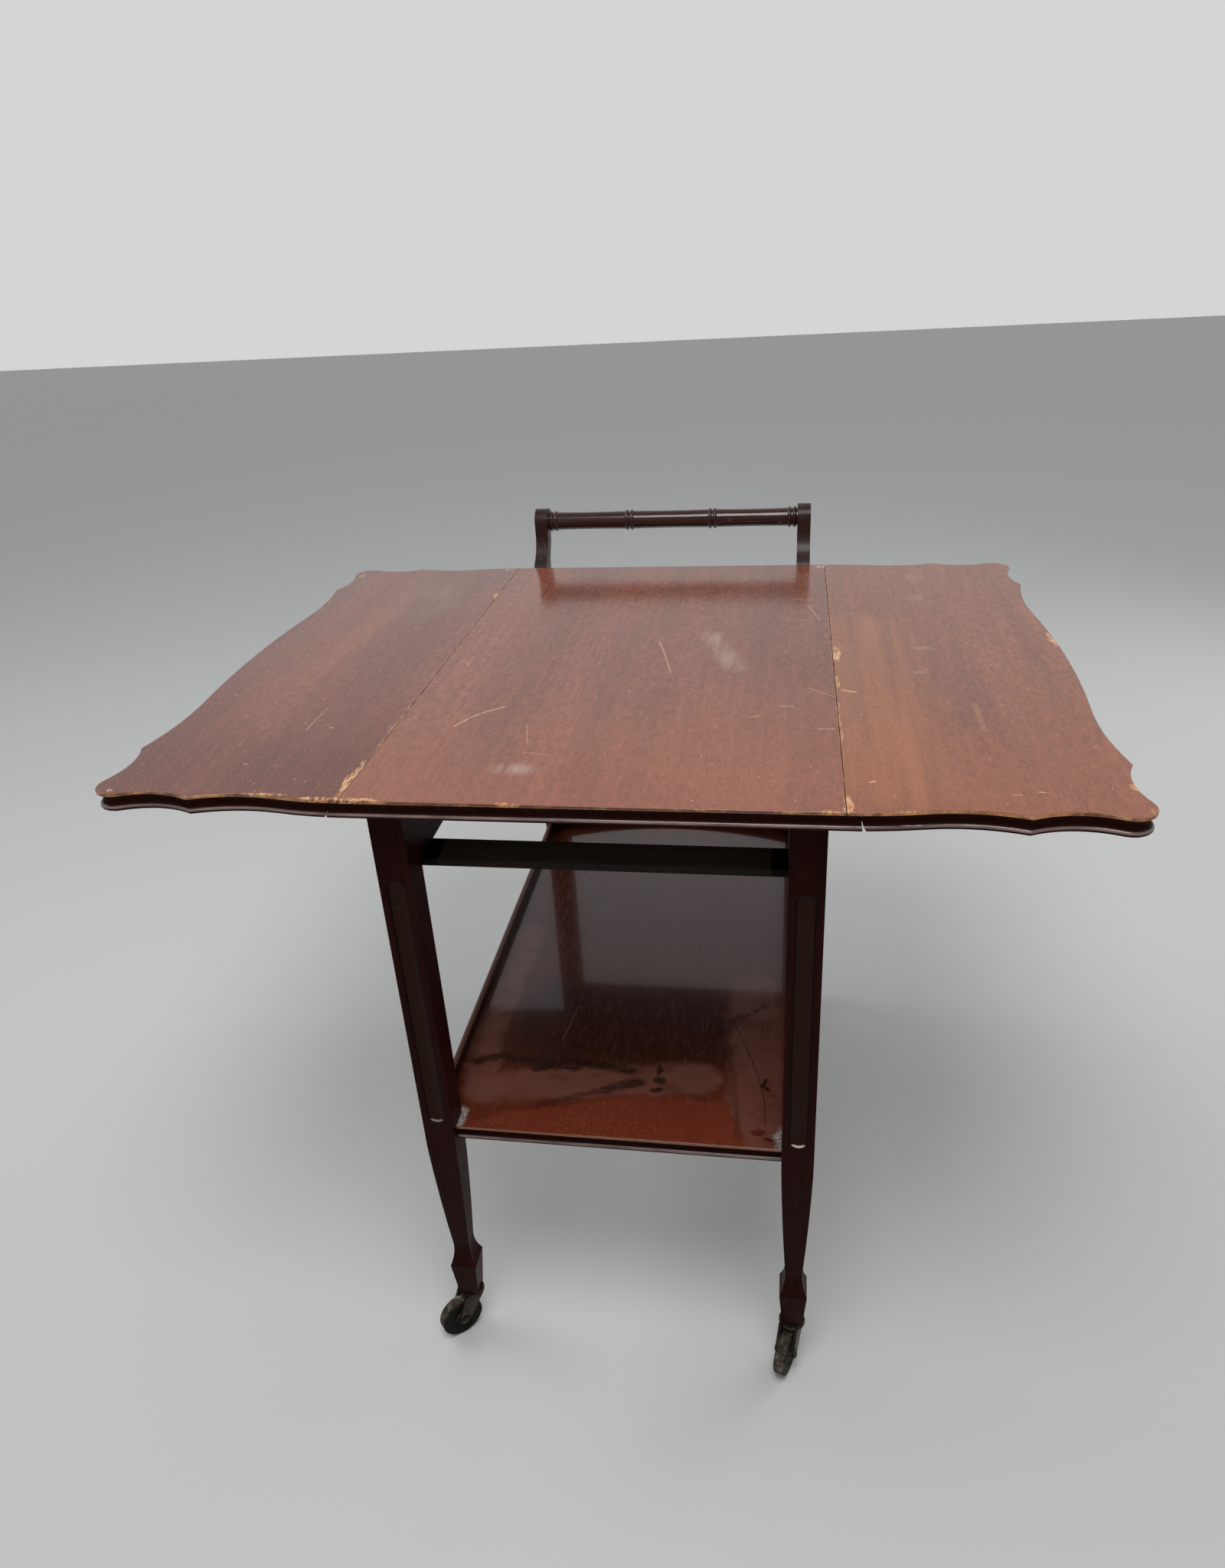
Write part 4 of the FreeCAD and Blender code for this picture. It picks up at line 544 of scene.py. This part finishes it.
def shelf_wood(name, seed):
    """Shelf board: a dusty film wiped by dark smears, a dark middle and back that are partly painted shade
    of the top, a clean red strip in front and dusty corners.
    """
    wood = polish(name, "y", seed)
    # Dark middle of the board and darker towards the back: smear colour, and painted shade of the top
    wood.tint(wood.stroke(((-0.080, -0.175), (0.050, -0.175)), 0.140), 0.78, SMEAR)
    wood.tint(wood.span(wood.axis(wood.place, "Y"), -0.12, 0.02), 0.42, (0.026, 0.0075, 0.0050))
    patchy = wood.span(wood.noise((22, 34, 22), 4.0, 0.6, (6, 1, 2)), 0.20, 0.55)
    bent = wood.bent((28, 44, 28), 0.026)
    film = 0.0
    for points, width in SHELF_FILM:
        film = wood.math("MAXIMUM", film, wood.stroke(points, width, bent))
    film = wood.span(film, 0.04, 0.80)
    lean = wood.product(wood.math("MINIMUM", wood.math("SUBTRACT", wood.axis(bent, "X"), 0.01), 0.0), 0.30)
    strip = wood.span(wood.math("SUBTRACT", wood.axis(bent, "Y"), lean), -0.284, -0.293)
    right_end = wood.math("ADD", wood.axis(bent, "X"), wood.product(wood.axis(bent, "Y"), 0.33))
    strip = wood.product(strip, wood.span(right_end, 0.024, 0.012))
    wood.tint(strip, 0.80, (0.185, 0.035, 0.0155))
    grainy = wood.span(wood.noise((520, 260, 520), 4.0, 0.7, (2, 6, 4)), 0.53, 0.66)
    amount = wood.span(wood.noise((14, 14, 14), 2.0, 0.5, (7, 2, 4)), 0.35, 0.65, 0.05, 0.60)
    wood.tint(wood.product(grainy, strip), amount, (0.31, 0.100, 0.052))
    wood.tint(wood.product(film, patchy, wood.span(strip, 1.0, 0.0)), 0.70, FILM)
    wiped = wood.bent((60, 130, 60), 0.012)
    ragged = wood.span(wood.noise((34, 260, 34), 4.0, 0.7, (2, 5, 1)), 0.30, 0.52)
    for points, width, amount, colour in SHELF_SMEARS:
        wood.tint(wood.product(wood.stroke(points, width, wiped), ragged), amount, colour)
    for points, width, amount, colour in SHELF_LINES:
        wood.tint(wood.stroke(points, width), amount, colour)
    for centre, reach, colour in SHELF_SPOTS:
        wood.tint(wood.spot(centre, reach, 0.5, wiped), 0.85, colour)
    specks = wood.span(wood.noise((420, 420, 420), 3.0, 0.7), 0.36, 0.52)
    for side in (-1, 1):
        corner = wood.spot((side * DUST_CORNER[0], DUST_CORNER[1]), (0.010, 0.022), 0.3, wiped)
        wood.tint(wood.product(corner, specks), 0.9, (0.60, 0.54, 0.52))
    front = wood.span(wood.axis(wood.place, "Y"), SHELF_FRONT + 0.0064, SHELF_FRONT + 0.0054)
    on_lip = wood.product(front, wood.span(wood.axis(wood.place, "Z"), SHELF_LIP - LIP_BLUR, SHELF_LIP))
    ahead_facing = wood.span(wood.axis(wood.facing, "Y"), -0.4, -0.7)
    wood.tint(wood.product(on_lip, ahead_facing), 0.75, (0.30, 0.115, 0.055))
    wood.wear((0.62, 0.34, 0.18), 0.0012, 0.95, 45.0, on_lip)
    wood.dirt_and_shade((0.008, 0.0022, 0.0015), 0.010, 0.85)
    wood.moulding(SHELF_LOW, SHELF_LIP, (0.06, 0.04, 0.03), front)
    polished = wood.span(wood.dull, 0.0, 1.0, 0.66, 0.0)
    return wood.finish(0.22, 0.12, coat=polished, coat_rough=0.06, specular=0.2)


def gallery_wood(name, grain, seed):
    """Gallery strip: a painted highlight along its top and painted shade down its sides."""
    wood = polish(name, grain, seed)
    up = wood.axis(wood.facing, "Z")
    # Sides turned away from above made darker: painted shade
    wood.colour = wood.mix(wood.span(up, 0.45, 0.05), wood.colour, (0.012, 0.0035, 0.0026))
    # Up-facing top made lighter: painted highlight
    wood.tint(wood.span(up, 0.75, 0.97), 0.6, (0.20, 0.105, 0.080))
    wood.dirt_and_shade((0.008, 0.0022, 0.0015), 0.008, 0.6)
    wood.wear((0.30, 0.12, 0.06), 0.0012, 0.4, 45.0)
    return wood.finish(0.34, 0.12, specular=0.25)


dress(shelf_wood("shelf_wood", 2.6), "shelf")
dress(gallery_wood("gallery_side_wood", "y", 8.1), "shelf_gallery_left", "shelf_gallery_right")
dress(gallery_wood("gallery_rear_wood", "x", 9.4), "shelf_gallery_rear")


# Handle: satin brackets and a glossier turned bar

def handle_wood(name, grain, tones, seed, rough, coat):
    wood = Wood(name, grain, tones, (0.014, 0.006, 0.005), seed)
    wood.fleck((0.13, 0.070, 0.050), 0.25)
    scuffs = wood.span(wood.noise((90, 220, 220), 4.0, 0.7, (1, 4, 2)), 0.64, 0.74)
    wood.tint(scuffs, 0.6, (0.34, 0.22, 0.17))
    wood.dirt_and_shade((0.006, 0.003, 0.002), 0.006, 0.85)
    wood.wear((0.22, 0.11, 0.07), 0.0012, 0.45, 60.0)
    return wood.finish(rough, 0.14, coat=coat, coat_rough=0.12, specular=0.3)


BRACKET_TONES = ((0.021, 0.0088, 0.0065), (0.034, 0.0142, 0.0108), (0.050, 0.0225, 0.0175))
BAR_TONES = ((0.026, 0.0070, 0.0052), (0.043, 0.0120, 0.0088), (0.068, 0.022, 0.016))
dress(handle_wood("handle_bracket_wood", "z", BRACKET_TONES, 1.9, 0.38, 0.1),
      "handle_bracket_left", "handle_bracket_right")
dress(handle_wood("handle_bar_wood", "x", BAR_TONES, 4.9, 0.20, 0.7), "handle_bar")


# Plain stained wood under the top

INSIDE_TONES = ((0.045, 0.0185, 0.0095), (0.074, 0.0320, 0.0165), (0.115, 0.0540, 0.0290))


def inside_wood(name, grain, seed):
    wood = Wood(name, grain, INSIDE_TONES, (0.024, 0.0105, 0.0060), seed)
    wood.fleck((0.16, 0.085, 0.048), 0.30)
    wood.dirt_and_shade((0.014, 0.0065, 0.0040), 0.010, 0.8)
    wood.wear((0.26, 0.15, 0.085), 0.0012, 0.4, 60.0)
    return wood.finish(0.62, 0.16, grain_depth=0.0002, specular=0.3)


dress(inside_wood("fly_bracket_wood", "y", 3.3),
      "fly_bracket_left", "fly_bracket_right", "fly_block_left", "fly_block_right", "top_blocks")
dress(inside_wood("dowel_wood", "x", 5.5), "shelf_dowels")


# Metal: hinges, screws and castors

def metal(name, tones, rust, rough, seed):
    shader = Shader(name)
    shift = (seed, seed, seed)
    patches = shader.noise((60, 60, 60), 5.0, 0.65, shift)
    speckle = shader.noise((700, 700, 700), 3.0, 0.6, shift)
    blend = shader.math("ADD", shader.product(patches, 0.6), shader.product(speckle, 0.4))
    colour = shader.ramp(blend, [(0.34, tones[0]), (0.52, tones[1]), (0.70, tones[2])])
    rusty = shader.span(shader.noise((130, 130, 130), 4.0, 0.7, (seed, 2, 5)), 0.52, 0.68)
    colour = shader.mix(shader.product(rusty, 0.7), colour, rust)
    edge = shader.edges(0.0008, 0.985, 0.80)
    wear_and_highlight_patches = shader.product(edge, shader.span(patches, 0.40, 0.60))
    colour = shader.mix(wear_and_highlight_patches, colour, times(tones[2], 1.8))
    # Darker in crevices and where parts meet: grime, and painted shade
    grime_and_shade = shader.span(shader.open_to_air(0.006), 0.70, 0.20)
    colour = shader.mix(shader.product(grime_and_shade, 0.8), colour, (0.012, 0.010, 0.008))
    dull = shader.math("ADD", shader.product(rusty, 0.30), rough)
    shader.set(Base_Color=colour, Metallic=0.75, Roughness=dull)
    shader.bump(shader.math("ADD", speckle, shader.product(rusty, 0.6)), 0.00012)
    return shader.material


CORNERS = ("front_left", "front_right", "rear_left", "rear_right")
hinge_metal = metal("hinge_iron", ((0.05, 0.043, 0.036), (0.10, 0.085, 0.070), (0.17, 0.150, 0.125)),
                    (0.085, 0.042, 0.020), 0.42, 2.0)
dress(hinge_metal, "hinge_plates_top_left", "hinge_plates_top_right", "hinge_plates_leaf_left",
      "hinge_plates_leaf_right", "hinge_pins_left", "hinge_pins_right", "fly_pin_left", "fly_pin_right")
screw_metal = metal("screw_steel", ((0.09, 0.080, 0.066), (0.18, 0.160, 0.135), (0.28, 0.250, 0.215)),
                    (0.110, 0.060, 0.030), 0.38, 5.0)
dress(screw_metal, "hinge_screws_top_left", "hinge_screws_top_right", "hinge_screws_leaf_left",
      "hinge_screws_leaf_right", "top_block_screws", "handle_screws", "fly_block_screws", "bearer_screws")
castor_metal = metal("castor_iron", ((0.020, 0.015, 0.011), (0.048, 0.037, 0.027), (0.115, 0.092, 0.068)),
                     (0.045, 0.024, 0.014), 0.42, 8.0)
for corner in CORNERS:
    dress(castor_metal, "castor_pin_" + corner, "castor_fork_" + corner, "castor_axle_" + corner)


def wheel_material(corner, seed):
    """Dark wheel sides and a tan, dusty tread."""
    shader = Shader("castor_wheel_" + corner)
    roll = joints["roll_" + corner]
    sideways = shader.math("ABSOLUTE", shader.vector("DOT_PRODUCT", shader.facing, tuple(roll["axis"])))
    tread = shader.span(sideways, 0.85, 0.45)
    patches = shader.noise((90, 90, 90), 4.0, 0.65, (seed, seed, seed))
    specks = shader.noise((900, 900, 900), 3.0, 0.7, (seed, 1, 2))
    side = shader.ramp(patches, [(0.35, (0.004, 0.0035, 0.003)), (0.55, (0.008, 0.0065, 0.005)),
                                 (0.72, (0.020, 0.016, 0.012))])
    blend = shader.math("ADD", shader.product(patches, 0.5), shader.product(specks, 0.5))
    band = shader.ramp(blend, [(0.36, (0.022, 0.016, 0.011)), (0.52, (0.060, 0.046, 0.032)),
                               (0.64, (0.420, 0.360, 0.280))])
    colour = shader.mix(tread, side, band)
    edge = shader.edges(0.0012, 0.985, 0.85)
    wear_and_highlight_patches = shader.product(edge, shader.span(specks, 0.45, 0.70))
    colour = shader.mix(wear_and_highlight_patches, colour, (0.16, 0.13, 0.10))
    # Darker in crevices and where parts meet: grime, and painted shade
    grime_and_shade = shader.span(shader.open_to_air(0.006), 0.70, 0.20)
    colour = shader.mix(shader.product(grime_and_shade, 0.7), colour, (0.010, 0.008, 0.006))
    shader.set(Base_Color=colour, Roughness=shader.span(specks, 0.2, 0.8, 0.45, 0.75),
               Specular_IOR_Level=0.12)
    shader.bump(specks, 0.00015)
    return shader.material


for index, corner in enumerate(CORNERS):
    dress(wheel_material(corner, 1.0 + 3.7 * index), "castor_wheel_" + corner)


# Floor, light and camera

FLOOR_REACH = 12.0
floor_mesh = bpy.data.meshes.new("floor")
corners = [(side * FLOOR_REACH, end * FLOOR_REACH, 0) for side, end in ((-1, -1), (1, -1), (1, 1), (-1, 1))]
floor_mesh.from_pydata(corners, [], [(0, 1, 2, 3)])
floor = bpy.data.objects.new("floor", floor_mesh)
bpy.context.scene.collection.objects.link(floor)
floor_shader = Shader("floor_pale")
rays = floor_shader.node("ShaderNodeLightPath", {}).outputs
seen = floor_shader.math("ADD", rays["Is Camera Ray"], rays["Is Glossy Ray"])
seen = floor_shader.math("ADD", seen, rays["Is Transmission Ray"], clamp=True)
floor_shader.set(Base_Color=floor_shader.mix(seen, (0.56, 0.56, 0.55), (0.80, 0.80, 0.79)), Roughness=0.8)
floor_mesh.materials.append(floor_shader.material)

world = bpy.data.worlds.new("studio")
bpy.context.scene.world = world
world.use_nodes = True
sky = Nodes(world.node_tree)
backdrop = sky.tree.nodes["Background"]
sky.put(backdrop.inputs["Color"], (0.96, 0.98, 1.0, 1))
way = sky.node("ShaderNodeTexCoord", {}).outputs["Generated"]
behind = sky.product(sky.span(sky.axis(way, "Y"), -0.35, 0.75, 0.0, 0.44),
                     sky.span(sky.axis(way, "Z"), 0.95, 0.45, 0.35, 1.0))
sky.put(backdrop.inputs["Strength"], sky.math("ADD", behind, 0.24))


def soft_light(name, place, target, size, power):
    lamp = bpy.data.lights.new(name, "AREA")
    lamp.shape = "DISK"
    lamp.size = size
    lamp.energy = power
    lamp_object = bpy.data.objects.new(name, lamp)
    lamp_object.location = place
    lamp_object.rotation_euler = (Vector(target) - Vector(place)).to_track_quat("-Z", "Y").to_euler()
    bpy.context.scene.collection.objects.link(lamp_object)
    return lamp_object


soft_light("ceiling_front", (0.1, -0.95, 2.45), (0.0, 0.05, 0.5), 1.1, 20.0)
soft_light("ceiling_side", (-2.2, 0.4, 2.6), (0.0, 0.0, 0.6), 1.6, 14.0)
fill = soft_light("fill_behind", (1.9, 1.5, 1.5), (0.0, 0.0, 0.5), 1.6, 9.0)
fill.visible_glossy = False

PITCH, YAW, ROLL = math.radians(27.377), math.radians(-10.167), math.radians(-3.556)
CAMERA_PLACE = (0.1627, -1.1434, 1.1520)
FOCAL_PX, PHOTO_HEIGHT_PX, SENSOR = 1392.2, 2048, 36.0
ahead = Vector((math.sin(YAW) * math.cos(PITCH), math.cos(YAW) * math.cos(PITCH), -math.sin(PITCH)))
level = Vector((math.cos(YAW), -math.sin(YAW), 0))
upright = level.cross(ahead)
right = math.cos(ROLL) * level + math.sin(ROLL) * upright
up = math.cos(ROLL) * upright - math.sin(ROLL) * level
camera = bpy.data.cameras.new("camera")
camera.sensor_fit = "AUTO"
camera.sensor_width = SENSOR
camera.lens = FOCAL_PX / PHOTO_HEIGHT_PX * SENSOR
camera_object = bpy.data.objects.new("camera", camera)
turn = Matrix((right, up, -ahead)).transposed().to_4x4()
camera_object.matrix_world = Matrix.Translation(CAMERA_PLACE) @ turn
bpy.context.scene.collection.objects.link(camera_object)
bpy.context.scene.camera = camera_object

bpy.context.scene.view_settings.view_transform = "Standard"
